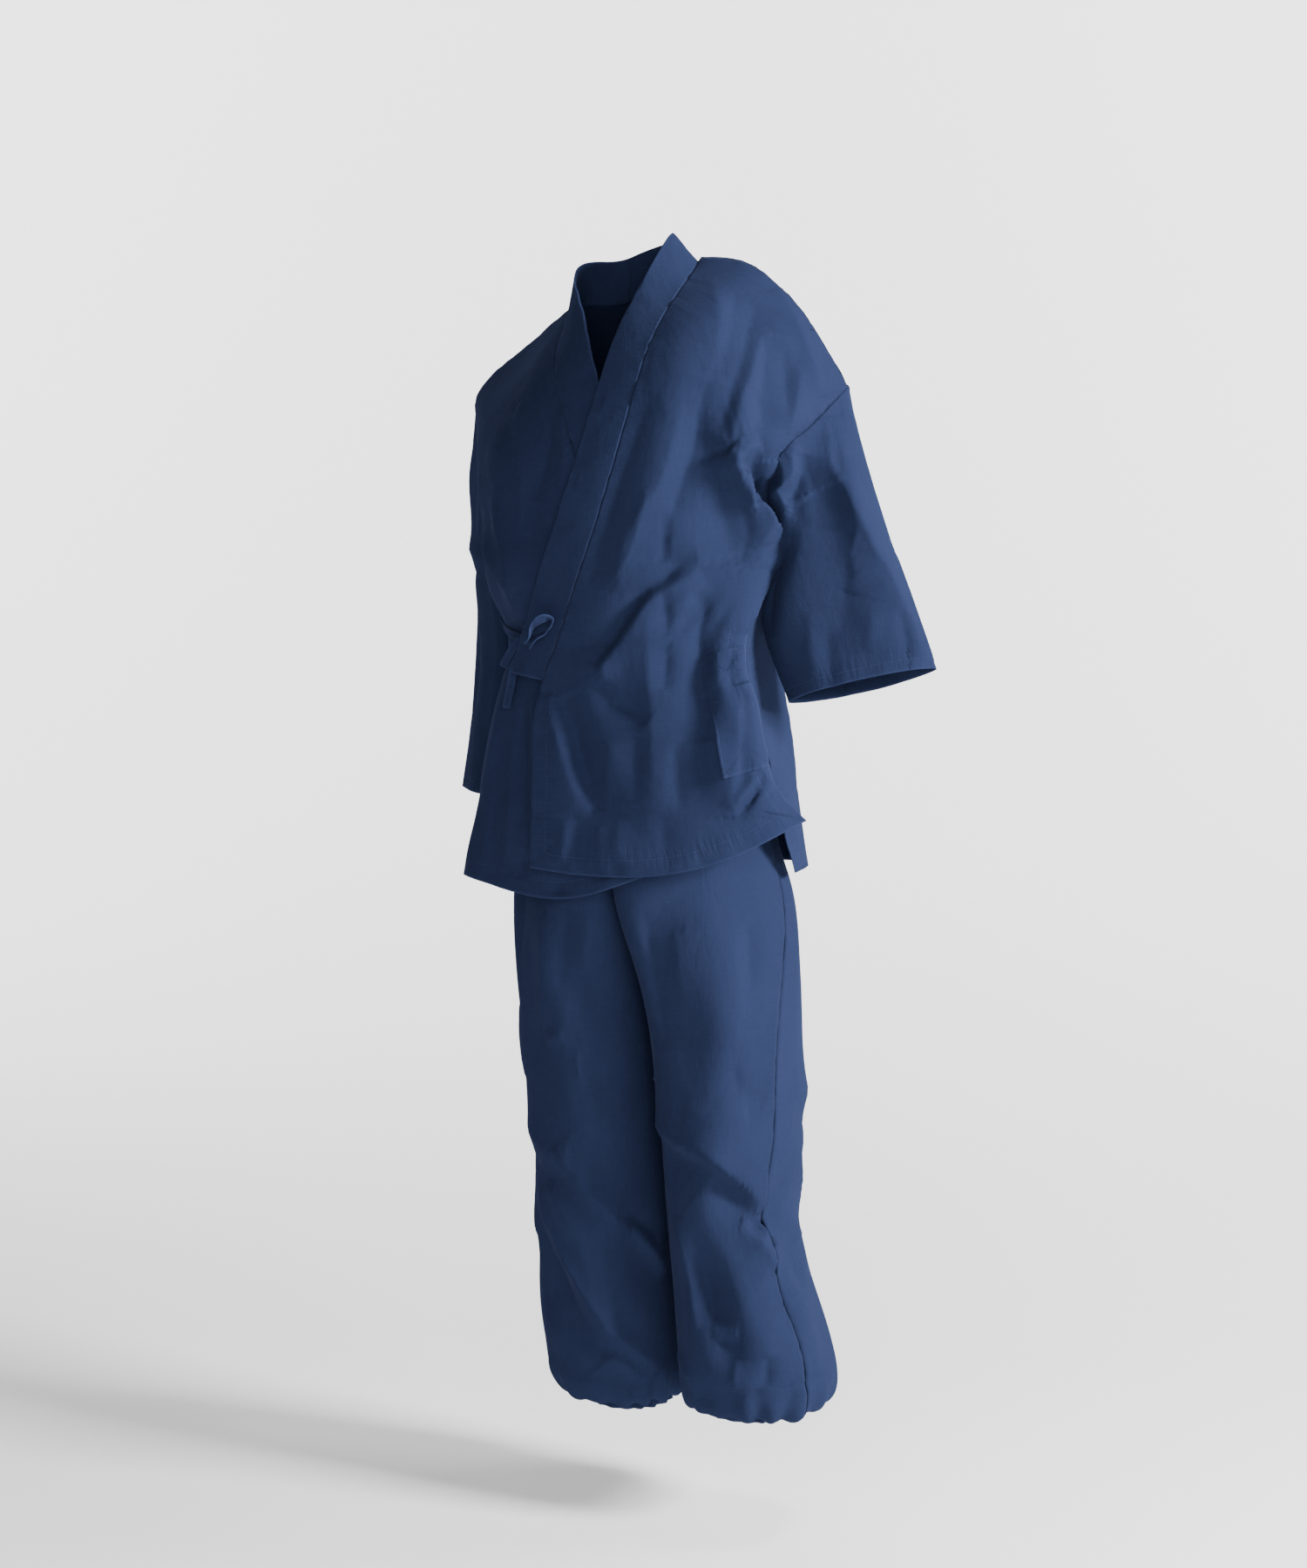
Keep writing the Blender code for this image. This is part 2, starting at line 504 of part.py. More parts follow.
def armhole(side, angle):
    """The edge that the fronts and the back leave for a sleeve: 0 at the underarm, 180 on the shoulder,
    up the front of the arm and down its back."""
    turn = np.mod(angle, 360.0)
    at_front = turn <= 180.0
    share = np.where(at_front, turn, 360.0 - turn) / 180.0
    level = ARMPIT + (1 - ARMPIT) * share
    front = front_form(LEFT_SIDE if side > 0 else RIGHT_SIDE, 90.0 * side, level)
    rear = back_form(90.0 * side, level)
    return np.where(at_front[..., None], front, rear)


def sleeve(sections, angle, level):
    """A point of a sleeve's plain form. It starts on the armhole and becomes the table's sections."""
    side = np.sign(sections["x"][0])
    angle, level = np.broadcast_arrays(np.asarray(angle, float), np.asarray(level, float))
    x, y, z, wide, deep, rise, yaw, drop = (
        read(sections, c, level) for c in ("x", "y", "z", "wide", "deep", "rise", "yaw", "drop")
    )
    t = np.radians(angle)
    rise, yaw = np.radians(rise), np.radians(yaw)
    out = -wide * np.cos(t)
    backward = -np.sin(t) * np.abs(np.sin(t)) ** (SLEEVE_PINCH * ease((level - 0.2) / 0.5))
    ring = np.stack(
        (
            x + side * (out * np.cos(rise) * np.cos(yaw) - deep * backward * np.sin(yaw)),
            y + out * np.cos(rise) * np.sin(yaw) + deep * backward * np.cos(yaw),
            z + out * np.sin(rise) - drop * backward,
        ),
        -1,
    )
    edge = armhole(side, angle) + np.array([side * ARMHOLE_GAP, 0.0, 0.0])
    centre = np.stack((x, y, z), -1)
    start = np.array([sections[c][0] for c in "xyz"])
    share = ease(level / SLEEVE_BLEND)[..., None]
    return (edge + centre - start) * (1 - share) + ring * share


def sleeve_cloth(sections, folds, angle, level):
    """A point of a sleeve with its folds."""
    normal = outward(lambda a, v: sleeve(sections, a, v), angle, np.clip(level, 0.02, 0.98), 1.0, 0.01)
    side = np.sign(sections["x"][0])
    from_underarm = 180.0 - np.abs(180.0 - np.asarray(angle, float))
    held = ease(level / 0.12) * ease((from_underarm - 6.0) / 34.0)
    lift = folded(folds, angle, level, SLEEVE_PER_DEGREE, SLEEVE_PER_LEVEL) * held
    return sleeve(sections, angle, level) - side * normal * lift[..., None]


# The collar along its seam: share 0 at its lower end, 1 at the middle of the back of the neck.
# rise: how far it turns up from the cloth it is sewn to, in degrees, and more: how much further on the
# right side of the neck. bend: how it curves across.
COLLAR = table(
    "level rise more bend",
    (0.00, 0.0, 0.0, 10.0),
    (0.12, 0.0, 0.0, 5.0),
    (0.30, 0.0, 0.0, 3.4),
    (0.50, 0.0, 0.0, 3.4),
    (0.68, 8.0, 9.0, 2.6),
    (0.80, 34.0, 17.0, 0.0),
    (0.90, 56.0, 6.0, 0.0),
    (1.00, 66.0, 0.0, 0.0),
)


def collar_seam():
    """The whole seam the collar is sewn to, from the left front's end round the neck to the right's:
    points, outward normals and the share of the way from an end to the middle of the back."""
    climb = BODY_LEVELS[BODY_LEVELS > COLLAR_END]
    left_angle = read(LEFT_EDGE, "angle", climb)
    right_angle = read(RIGHT_EDGE, "angle", climb)
    across = BACK_ANGLES[BACK_ANGLES < NECK_ANGLE - 1]
    across = np.concatenate((across[:0:-1], -across))
    neck = back_top(across)
    points = np.concatenate(
        (left_front(left_angle, climb), back(across, neck), right_front(right_angle, climb)[::-1])
    )
    normals = np.concatenate(
        (
            outward(left_form, left_angle, np.minimum(climb, 0.985)),
            -outward(back_form, across, neck),
            outward(right_form, right_angle, np.minimum(climb, 0.985))[::-1],
        )
    )
    length = np.concatenate(((0.0,), np.cumsum(np.linalg.norm(np.diff(points, axis=0), axis=1))))
    share = 1 - np.abs(1 - 2 * length / length[-1])
    return points, normals, share


def back_top(angle):
    """The level of the back's top edge, which dips a little at the neck."""
    return 1 - BACK_NECK_DIP * ease((NECK_ANGLE - np.abs(angle)) / 9.0)


def smoothed(rows, passes):
    """Rows of directions evened out along the way."""
    for _ in range(passes):
        rows = np.concatenate((rows[:1], (rows[:-2] + 2 * rows[1:-1] + rows[2:]) / 4, rows[-1:]))
        rows /= np.linalg.norm(rows, axis=1, keepdims=True)
    return rows


def collar_points(columns):
    """The band: flat on the chest and standing round the neck."""
    seam, normal, share = collar_seam()
    normal = smoothed(normal, 3)
    tangent = np.gradient(seam, axis=0)
    tangent /= np.linalg.norm(tangent, axis=1, keepdims=True)
    across = smoothed(np.cross(normal, tangent), 2)
    at_right = np.arange(len(share)) > share.argmax()
    rise = np.radians(read(COLLAR, "rise", share) + read(COLLAR, "more", share) * at_right)[:, None]
    bend = read(COLLAR, "bend", share)[:, None]
    way = across * np.cos(rise) + normal * np.sin(rise)
    off = normal * np.cos(rise) - across * np.sin(rise)
    down = np.where(at_right, 1.0, -1.0)[:, None] * tangent
    cut = COLLAR_END_SLANT * (1 - ease(share / 0.10))[:, None]
    strip = []
    for w in SEAM_GAP + COLLAR_WIDTH * np.linspace(0, 1, columns):
        strip.append(seam + (way + down * cut) * w - off * bend * w * w / 2)
    return np.stack(strip, 1)


# The ties on the right front: where each strap's middle runs, and how far it stands off the cloth
TIE_WIDTH = 0.011
TIE_CLOTH = 0.0020
TIE_DRAWN = 0.45
LEFT_TIE = table(
    "level angle height out",
    (0.0, -21.5, 0.424, 0.0066),
    (0.5, -25.0, 0.412, 0.0090),
    (1.0, -31.0, 0.3966, 0.0115),
)
RIGHT_TIE = table(
    "level angle height out",
    (0.0, -82.0, 0.402, 0.0070),
    (0.4, -66.0, 0.394, 0.0075),
    (0.7, -48.0, 0.391, 0.0080),
    (1.0, -35.2, 0.392, 0.0105),
)
TIE_LOOP = table(
    "level angle height out",
    (0.0, -33.2, 0.3980, 0.0194),
    (0.1, -29.4, 0.4080, 0.0254),
    (0.2, -24.6, 0.4190, 0.0250),
    (0.4, -17.6, 0.4340, 0.0265),
    (0.5, -15.2, 0.4310, 0.0270),
    (0.6, -16.0, 0.4200, 0.0275),
    (0.8, -21.6, 0.4050, 0.0280),
    (0.9, -26.8, 0.3982, 0.0284),
    (1.0, -32.1, 0.3925, 0.0232),
)
TIE_END_ABOVE = table(
    "level angle height out",
    (0.0, -35.7, 0.3885, 0.0150),
    (0.3, -42.0, 0.3825, 0.0172),
    (0.6, -50.0, 0.3640, 0.0180),
    (1.0, -58.0, 0.3340, 0.0170),
)
TIE_END_BELOW = table(
    "level angle height out",
    (0.0, -33.8, 0.3824, 0.0094),
    (0.3, -40.0, 0.3560, 0.0100),
    (0.6, -45.0, 0.3260, 0.0110),
    (1.0, -49.0, 0.2820, 0.0120),
)
KNOT_ANGLE, KNOT_HEIGHT, KNOT_OUT = -33.2, 0.3915, 0.0130
KNOT_SIZE = (0.0066, 0.0066, 0.0058)


def strap(path, rows, twist=0.0, at_start=0.0, at_end=0.0):
    """A flat strap along a path on the right front, turned on its edge by an angle in degrees. Where the
    knot holds it, at its start or its end, it lies flat and is drawn together."""
    along = np.linspace(0, 1, rows)
    angle, height, out = (read(path, c, along) for c in ("angle", "height", "out"))
    middle = right_front(angle, height, out)
    normal = outward(right_form, angle, height)
    tangent = np.gradient(middle, axis=0)
    tangent /= np.linalg.norm(tangent, axis=1, keepdims=True)
    across = np.cross(normal, tangent)
    held = np.maximum(at_start * (1 - ease(along / 0.28)), at_end * (1 - ease((1 - along) / 0.28)))
    turn = (math.radians(twist) * (1 - held))[:, None]
    side = (across * np.cos(turn) + normal * np.sin(turn)) * (1 - TIE_DRAWN * held)[:, None]
    return np.stack([middle + side * w for w in TIE_WIDTH * np.linspace(-0.5, 0.5, 3)], 1)


def knot_points(columns, rows):
    """The small round knot where the two ties cross."""
    steepest = 0.46 * math.pi
    turn, climb = grid(np.linspace(0, 2 * math.pi, columns), np.linspace(-steepest, steepest, rows))
    place = np.array([KNOT_ANGLE]), np.array([KNOT_HEIGHT])
    centre = right_front(*place, KNOT_OUT)[0]
    out = outward(right_form, *place)[0]
    along = np.cross(np.array([0.0, 0.0, 1.0]), out)
    along /= np.linalg.norm(along)
    up = np.cross(out, along)
    a, b, c = KNOT_SIZE
    return (
        centre
        + along * (a * np.sin(climb))[..., None]
        + up * (b * np.cos(climb) * np.cos(turn))[..., None]
        + out * (c * np.cos(climb) * np.sin(turn))[..., None]
    )


# The bands of elastic: how far each is from the trousers' edge it gathers, and how high it is
BAND_HEIGHT = 0.038
ANKLE_HEIGHT = 0.026


def waistband_points(rows):
    """The waistband stands on the top edge of both legs."""
    turn = np.arange(-88.0, 269.0, 9.0)
    ones = np.ones_like(turn)
    ring = np.concatenate(
        (leg_cloth(LEFT_LEG, (), turn, ones), leg_cloth(RIGHT_LEG, (), turn[::-1], ones))
    )
    ring = np.concatenate((ring, ring[:1]))
    climb = np.linspace(0, 1, rows)[:, None, None]
    return ring + np.array([0.0, 0.0, 1.0]) * (2 * SEAM_GAP + BAND_HEIGHT * climb)


def ankle_points(sections, columns, rows):
    """An ankle band stands just inside the bottom edge of a leg and shows a little below it."""
    angle, climb = grid(np.linspace(0, 360, columns), np.linspace(0, 1, rows))
    ring = leg(sections, angle, 0.0)
    centre = ring[0, :-1].mean(0)
    drawn = 0.036 + 0.012 * (0.5 + 0.5 * np.cos(np.radians(angle * ANKLE_GATHERS)))
    ring = centre + (ring - centre) * (1 - drawn)[..., None]
    ring[..., 2] = sections["z"][0] + ANKLE_HEIGHT * (climb - 0.75)
    return ring


NAVY = (0.016, 0.030, 0.078)


def finish_cloth(obj, colour, roughness=0.85):
    """Gives a piece its cotton."""
    material = bpy.data.materials.new(obj.name + "_cotton")
    material.use_nodes = True
    shader = material.node_tree.nodes["Principled BSDF"]
    shader.inputs["Base Color"].default_value = (*colour, 1.0)
    shader.inputs["Roughness"].default_value = roughness
    obj.data.materials.append(material)
    obj.data.shade_smooth()


def sheet_normals(points, closed):
    """Unit normals of a grid of points, from its rows and columns."""
    if closed:
        points = np.concatenate((points[:, -2:-1], points, points[:, 1:2]), 1)
    n = np.cross(np.gradient(points, axis=1), np.gradient(points, axis=0))
    n = n[:, 1:-1] if closed else n
    return n / np.maximum(np.linalg.norm(n, axis=-1, keepdims=True), 1e-12)


def border(grid_of_points, closed):
    """The places of a grid that lie on its free edges, as row and column numbers."""
    rows, columns = grid_of_points.shape[:2]
    row, column = np.indices((rows, columns))
    edge = (row == 0) | (row == rows - 1)
    if not closed:
        edge |= (column == 0) | (column == columns - 1)
    return row[edge], column[edge]


def match_seams(sheets):
    """Where two sheets meet at a seam, gives both the same direction of thickness, so they stay apart."""
    rims = {name: border(points, closed) for name, points, normals, _, closed in sheets}
    before = {name: normals.copy() for name, _, normals, _, _ in sheets}
    for name, points, normals, _, _ in sheets:
        for row, column in zip(*rims[name]):
            total = before[name][row, column].copy()
            for other, other_points, _, _, _ in sheets:
                if other == name:
                    continue
                rim = rims[other]
                gap = np.linalg.norm(other_points[rim] - points[row, column], axis=1)
                near = gap.argmin()
                direction = before[other][rim][near]
                if gap[near] < SEAM_REACH and direction @ before[name][row, column] > SEAM_TURNED:
                    total += direction
            normals[row, column] = total / np.linalg.norm(total)


def cloth_piece(collection, name, outer, inner, closed):
    """A closed shell of cloth between two grids: rows along the piece, columns across it."""
    rows, columns = outer.shape[:2]
    columns -= 1 if closed else 0
    shape = bmesh.new()
    faces = [
        [[shape.verts.new(layer[r, c]) for c in range(columns)] for r in range(rows)]
        for layer in (outer, inner)
    ]
    top, under = faces
    across = range(columns if closed else columns - 1)
    for r in range(rows - 1):
        for c in across:
            d = (c + 1) % columns
            shape.faces.new((top[r][c], top[r][d], top[r + 1][d], top[r + 1][c]))
            shape.faces.new((under[r][c], under[r + 1][c], under[r + 1][d], under[r][d]))
    for c in across:
        d = (c + 1) % columns
        shape.faces.new((top[0][c], under[0][c], under[0][d], top[0][d]))
        shape.faces.new((top[-1][c], top[-1][d], under[-1][d], under[-1][c]))
    if not closed:
        for r in range(rows - 1):
            shape.faces.new((top[r][0], top[r + 1][0], under[r + 1][0], under[r][0]))
            shape.faces.new((top[r][-1], under[r][-1], under[r + 1][-1], top[r + 1][-1]))
    bmesh.ops.recalc_face_normals(shape, faces=shape.faces)
    add_solid(collection, name, shape)


def add_solid(collection, name, shape):
    """Makes an object of a bmesh and gives it its cotton."""
    mesh = bpy.data.meshes.new(name)
    shape.to_mesh(mesh)
    shape.free()
    obj = bpy.data.objects.new(name, mesh)
    collection.objects.link(obj)
    finish_cloth(obj, NAVY)


def grid(u, v):
    """Columns across and rows along as a grid of places."""
    return np.meshgrid(np.asarray(u, float), np.asarray(v, float))


def short_of_tip(angle, level):
    """The top row stops a little short of the shoulder's tip, where front, back and sleeve meet."""
    return level - SHOULDER_NOTCH * ease((np.abs(angle) - 76.0) / 12.0) * (level > 0.98)


def front_points(front, edge, side, shares, levels, out=0.0):
    share, level = grid(shares, levels)
    start = read(edge, "angle", level)
    angle = start + (side * 89.9 - start) * share
    return front(angle, short_of_tip(angle, level), out)


def pocket_points():
    """The pocket follows the left front's own points, moved out, and stands off a little at its mouth."""
    shares = FRONT_SHARES[(FRONT_SHARES > POCKET_FROM - 1e-6) & (FRONT_SHARES < POCKET_TO + 1e-6)]
    levels = BODY_LEVELS[(BODY_LEVELS > POCKET_BOTTOM - 1e-6) & (BODY_LEVELS < POCKET_TOP + 1e-6)]
    share, level = grid(shares, levels)
    across = (share - POCKET_FROM) / (POCKET_TO - POCKET_FROM)
    climb = (level - POCKET_BOTTOM) / (POCKET_TOP - POCKET_BOTTOM)
    mouth = POCKET_MOUTH * np.sin(math.pi * across) * climb**2
    return front_points(left_front, LEFT_EDGE, 1, shares, levels, CLOTH + 2 * SEAM_GAP + mouth)


def back_points(levels):
    angle, level = grid(np.concatenate((-BACK_ANGLES[:0:-1], BACK_ANGLES)), levels)
    return back(angle, short_of_tip(angle, level * back_top(angle)))


def leg_points(sections, folds, first, last, columns, levels):
    share, level = grid(np.linspace(0, 1, columns), levels)
    seam = read(sections, "seam", level)
    start = (seam if first == "seam" else np.full_like(level, first)) + SEAM_TURN
    end = (seam if last == "seam" else np.full_like(level, last)) - SEAM_TURN
    return leg_cloth(sections, folds, start + (end - start) * share, level)


def sleeve_points(sections, folds, columns, rows):
    angle, level = grid(np.linspace(0, 360, columns), np.linspace(0.006, 1, rows))
    return sleeve_cloth(sections, folds, angle, level)


# The sheets whose rows and columns run so that their normals point to the body
INSIDE_OUT = {
    "right_front": -1.0,
    "back": -1.0,
    "collar": -1.0,
    "left_sleeve": -1.0,
    "left_tie": -1.0,
    "right_tie": -1.0,
    "tie_loop": -1.0,
    "tie_end_above": -1.0,
    "tie_end_below": -1.0,
    "right_leg_front": -1.0,
    "right_leg_back": -1.0,
    "right_ankle": -1.0,
}


def pieces():
    """Every piece of cloth as name, grid of points, thickness and whether it is a tube."""
    fronts = (("left_front", left_front, LEFT_EDGE, 1), ("right_front", right_front, RIGHT_EDGE, -1))
    for name, front, edge, side in fronts:
        yield name, front_points(front, edge, side, FRONT_SHARES, BODY_LEVELS), CLOTH, False
    yield "back", back_points(BODY_LEVELS), CLOTH, False
    yield "collar", collar_points(4), COLLAR_CLOTH, False
    yield "left_sleeve", sleeve_points(LEFT_SLEEVE, LEFT_SLEEVE_FOLDS, 21, 14), CLOTH, True
    yield "right_sleeve", sleeve_points(RIGHT_SLEEVE, RIGHT_SLEEVE_FOLDS, 21, 14), CLOTH, True
    yield "pocket", pocket_points(), CLOTH, False
    yield "left_tie", strap(LEFT_TIE, 4, 0.0, 0.0, 1.0), TIE_CLOTH, False
    yield "right_tie", strap(RIGHT_TIE, 8, 0.0, 0.0, 1.0), TIE_CLOTH, False
    yield "tie_loop", strap(TIE_LOOP, 15, 62.0, 1.0, 1.0), TIE_CLOTH, False
    yield "tie_end_above", strap(TIE_END_ABOVE, 8, 62.0, 1.0), TIE_CLOTH, False
    yield "tie_end_below", strap(TIE_END_BELOW, 8, 48.0, 1.0), TIE_CLOTH, False
    legs = (("left", LEFT_LEG, LEFT_LEG_FOLDS), ("right", RIGHT_LEG, RIGHT_LEG_FOLDS))
    for name, sections, folds in legs:
        front = leg_points(sections, folds, -90.0, "seam", 12, LEG_LEVELS)
        rear = leg_points(sections, folds, "seam", 270.0, 12, LEG_LEVELS)
        yield name + "_leg_front", front, CLOTH, False
        yield name + "_leg_back", rear, CLOTH, False
    yield "waistband", waistband_points(3), COLLAR_CLOTH, True
    yield "left_ankle", ankle_points(LEFT_LEG, 33, 3), COLLAR_CLOTH, True
    yield "right_ankle", ankle_points(RIGHT_LEG, 33, 3), COLLAR_CLOTH, True


def knot_piece(collection):
    """The knot, a small closed solid."""
    points = posed(knot_points(11, 7))
    shape = bmesh.new()
    rings = [[shape.verts.new(p) for p in row[:-1]] for row in points]
    for low, high in zip(rings, rings[1:]):
        for k in range(len(low)):
            shape.faces.new((low[k - 1], low[k], high[k], high[k - 1]))
    shape.faces.new(rings[0])
    shape.faces.new(rings[-1])
    bmesh.ops.recalc_face_normals(shape, faces=shape.faces)
    add_solid(collection, "tie_knot", shape)


def main():
    for obj in list(bpy.data.objects):
        bpy.data.objects.remove(obj)
    collection = bpy.data.collections.new("samue")
    bpy.context.scene.collection.children.link(collection)
    sheets = []
    for name, points, thickness, closed in pieces():
        points = posed(points)
        outward_sign = INSIDE_OUT.get(name, 1.0)
        sheets.append((name, points, sheet_normals(points, closed) * outward_sign, thickness, closed))
    match_seams(sheets)
    for name, points, normals, thickness, closed in sheets:
        cloth_piece(collection, name, points, points - normals * thickness, closed)
    knot_piece(collection)


main()
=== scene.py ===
"""The looks of a cotton samue: a wrap jacket tied at the side over trousers gathered at the ankles.

Each piece of cloth is a thin shell on the form of its CAD node. Creases are pressed into the shells along
lines given in picture points: 1500 across and 1800 down, seen from a stated angle round the set. All other
lengths are in millimetres unless a comment says otherwise.
"""
import math

import bmesh
import bpy
import numpy as np
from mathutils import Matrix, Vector
from mathutils.kdtree import KDTree


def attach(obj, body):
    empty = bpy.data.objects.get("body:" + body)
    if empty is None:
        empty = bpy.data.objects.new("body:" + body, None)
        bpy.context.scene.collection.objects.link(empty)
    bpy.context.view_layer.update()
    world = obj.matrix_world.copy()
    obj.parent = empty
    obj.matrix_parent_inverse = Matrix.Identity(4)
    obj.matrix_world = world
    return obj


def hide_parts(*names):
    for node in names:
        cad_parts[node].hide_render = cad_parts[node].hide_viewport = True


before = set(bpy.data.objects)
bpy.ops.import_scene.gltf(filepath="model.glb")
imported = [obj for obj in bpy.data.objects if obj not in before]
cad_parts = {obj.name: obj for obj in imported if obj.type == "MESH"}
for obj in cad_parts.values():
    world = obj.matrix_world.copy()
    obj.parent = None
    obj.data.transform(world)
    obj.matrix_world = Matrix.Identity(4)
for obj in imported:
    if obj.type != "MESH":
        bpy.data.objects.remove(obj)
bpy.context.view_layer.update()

MM = 0.001

# The camera: how far its eye is from the upright through the neck in metres, its focal length in picture
# points, the size of the picture and where the neck's origin is in it.
EYE_DISTANCE = 4.2
FOCAL_POINTS = 4038.0
PICTURE = (1500.0, 1800.0)
NECK_IN_PICTURE = (723.0, 325.0)

# Angles round the set in degrees. The camera stands at FRONT, and creases are laid from all four.
FRONT, LEFT, BACK, RIGHT = 25.0, 95.0, 200.0, 290.0

# How many times the faces of each shell are halved, the flat cut of what shows in metres and square metres,
# how it is held and on what, how far from a free edge its stitches run in millimetres (below 0: none), and
# the node whose threads it shares.
CLOTH = """
node            halved wide  long  area    held     rests_on       stitch threads
left_front      3      0.340 0.800 0.1820  hung     back           20     back
right_front     3      0.360 0.800 0.2080  hung     back           20     back
back            2      0.620 0.800 0.3830  hung     collar         20     back
collar          3      0.055 1.320 0.0706  folded   back           -9     back
left_sleeve     3      0.400 0.330 0.1120  hung     left_front     13     left_sleeve
right_sleeve    3      0.420 0.360 0.1380  hung     right_front    13     right_sleeve
pocket          3      0.062 0.150 0.0088  hung     left_front     3      back
left_leg_front  3      0.280 0.920 0.2200  hung     waistband      -9     left_leg_front
left_leg_back   2      0.340 0.930 0.2760  hung     waistband      -9     left_leg_front
right_leg_front 3      0.320 0.930 0.2580  hung     waistband      -9     right_leg_front
right_leg_back  2      0.300 0.930 0.2430  hung     waistband      -9     right_leg_front
waistband       2      0.850 0.038 0.0322  gathered left_leg_back  -9     back
left_ankle      2      0.370 0.026 0.0095  gathered left_leg_back  -9     left_leg_front
right_ankle     2      0.360 0.026 0.0093  gathered right_leg_back -9     right_leg_front
left_tie        2      0.011 0.040 0.0004  hung     collar         -9     back
right_tie       2      0.011 0.140 0.0015  hung     right_front    -9     back
tie_loop        2      0.011 0.125 0.00137 hung     tie_knot       -9     back
tie_end_above   2      0.011 0.078 0.00085 hung     tie_knot       -9     back
tie_end_below   2      0.011 0.100 0.00110 hung     tie_knot       -9     back
"""
# The knot is part of the left tie's cloth, so it has no cut of its own.
KNOT = {"node": "tie_knot", "halved": 2, "stitch": -9, "threads": "back"}


def rows(text):
    """The rows of a table under a line of column names, each as a dict of numbers and words."""
    lines = [line.split() for line in text.strip().splitlines()]
    named = []
    for line in lines[1:]:
        named.append({key: word if word[0].isalpha() else float(word) for key, word in zip(lines[0], line)})
    return named


def view(angle):
    """(eye, right, up, forward) of a camera that sees the set from this angle round it."""
    turn = math.radians(angle)
    eye = Vector((math.sin(turn), -math.cos(turn), 0.0)) * EYE_DISTANCE
    yaw = math.atan((PICTURE[0] / 2 - NECK_IN_PICTURE[0]) / FOCAL_POINTS)
    pitch = math.atan((PICTURE[1] / 2 - NECK_IN_PICTURE[1]) / FOCAL_POINTS)
    across = Vector((math.cos(turn), math.sin(turn), 0.0))
    ahead = Vector((-math.sin(turn), math.cos(turn), 0.0))
    forward = ahead * math.cos(pitch) * math.cos(yaw) + across * math.cos(pitch) * math.sin(yaw)
    forward = (forward - Vector((0.0, 0.0, math.sin(pitch)))).normalized()
    right = forward.cross(Vector((0.0, 0.0, 1.0))).normalized()
    return eye, right, right.cross(forward), forward


def sight(angle, across, down):
    """(eye, direction) of the line of sight through a picture point."""
    eye, right, up, forward = view(angle)
    side = (across - PICTURE[0] / 2) / FOCAL_POINTS
    rise = (PICTURE[1] / 2 - down) / FOCAL_POINTS
    return eye, (forward + right * side + up * rise).normalized()


def eased(points, step):
    """Points about one step apart on a smooth line through the given points."""
    points = np.array(points, float)
    ends = np.vstack([2 * points[0] - points[1], points, 2 * points[-1] - points[-2]])
    line = []
    for a, b, c, d in zip(ends, ends[1:], ends[2:], ends[3:]):
        count = max(2, int(np.linalg.norm(c - b) / step))
        for t in np.arange(count) / count:
            line.append(0.5 * (2 * b + (c - a) * t + (2 * a - 5 * b + 4 * c - d) * t**2
                               + (3 * b - a - 3 * c + d) * t**3))
    line.append(points[-1])
    return np.array(line)


def line_of(text):
    """The points of a line, from their numbers with commas between the points."""
    return [tuple(float(word) for word in point.split()) for point in text.split(",")]


def unit(ways):
    """The directions of these vectors, each of length 1."""
    return ways / np.maximum(np.linalg.norm(ways, axis=1), 1e-9)[:, None]


# Faces of a solid that are narrower than this, in metres, are the cut rim of its cloth.
RIM_THICKNESS = 0.0034
TIE_THICKNESS = 0.0023
# The rim keeps its corners where it bends by more than RIM_BEND. Triangles are joined two by two where they
# bend by less than JOIN_BEND.
RIM_BEND = math.radians(40)
JOIN_BEND = math.radians(38)


def layers(faces):
    """The sets of faces that hang together, largest area first."""
    left, found = set(faces), []
    while left:
        waiting = [left.pop()]
        together = set(waiting)
        while waiting:
            for edge in waiting.pop().edges:
                for face in edge.link_faces:
                    if face in left:
                        left.discard(face)
                        together.add(face)
                        waiting.append(face)
        found.append(together)
    return sorted(found, key=lambda some: -sum(face.calc_area() for face in some))


def shell(node, halved):
    """A smooth thin shell on the form of a node, its rim kept in place and each side of the cloth marked."""
    bm = bmesh.new()
    bm.from_mesh(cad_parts[node].data)
    bmesh.ops.remove_doubles(bm, verts=bm.verts, dist=1e-5)
    bmesh.ops.join_triangles(bm, faces=bm.faces, angle_face_threshold=JOIN_BEND,
                             angle_shape_threshold=math.pi)
    thin = TIE_THICKNESS if "tie" in node else RIM_THICKNESS
    rim = {face for face in bm.faces
           if node != "tie_knot" and face.calc_area() < thin * max(edge.calc_length() for edge in face.edges)}
    kept = bm.edges.layers.float.new("crease_edge")
    for edge in bm.edges:
        on_rim = [face in rim for face in edge.link_faces]
        corner = all(on_rim) and edge.calc_face_angle(0.0) > RIM_BEND
        if corner or any(on_rim) != all(on_rim):
            edge[kept] = 1.0
    side = bm.verts.layers.float.new("side")
    outer = layers(set(bm.faces) - rim)[0]
    for vert in bm.verts:
        vert[side] = -1.0
    for face in outer:
        for vert in face.verts:
            vert[side] = 1.0
    mesh = bpy.data.meshes.new("cloth_" + node)
    bm.to_mesh(mesh)
    bm.free()
    piece = bpy.data.objects.new("cloth_" + node, mesh)
    bpy.context.scene.collection.objects.link(piece)
    halving = piece.modifiers.new("halving", "SUBSURF")
    halving.levels = halving.render_levels = int(halved)
    done = piece.evaluated_get(bpy.context.evaluated_depsgraph_get())
    piece.data = bpy.data.meshes.new_from_object(done)
    piece.modifiers.clear()
    piece.data.polygons.foreach_set("use_smooth", [True] * len(piece.data.polygons))
    return piece


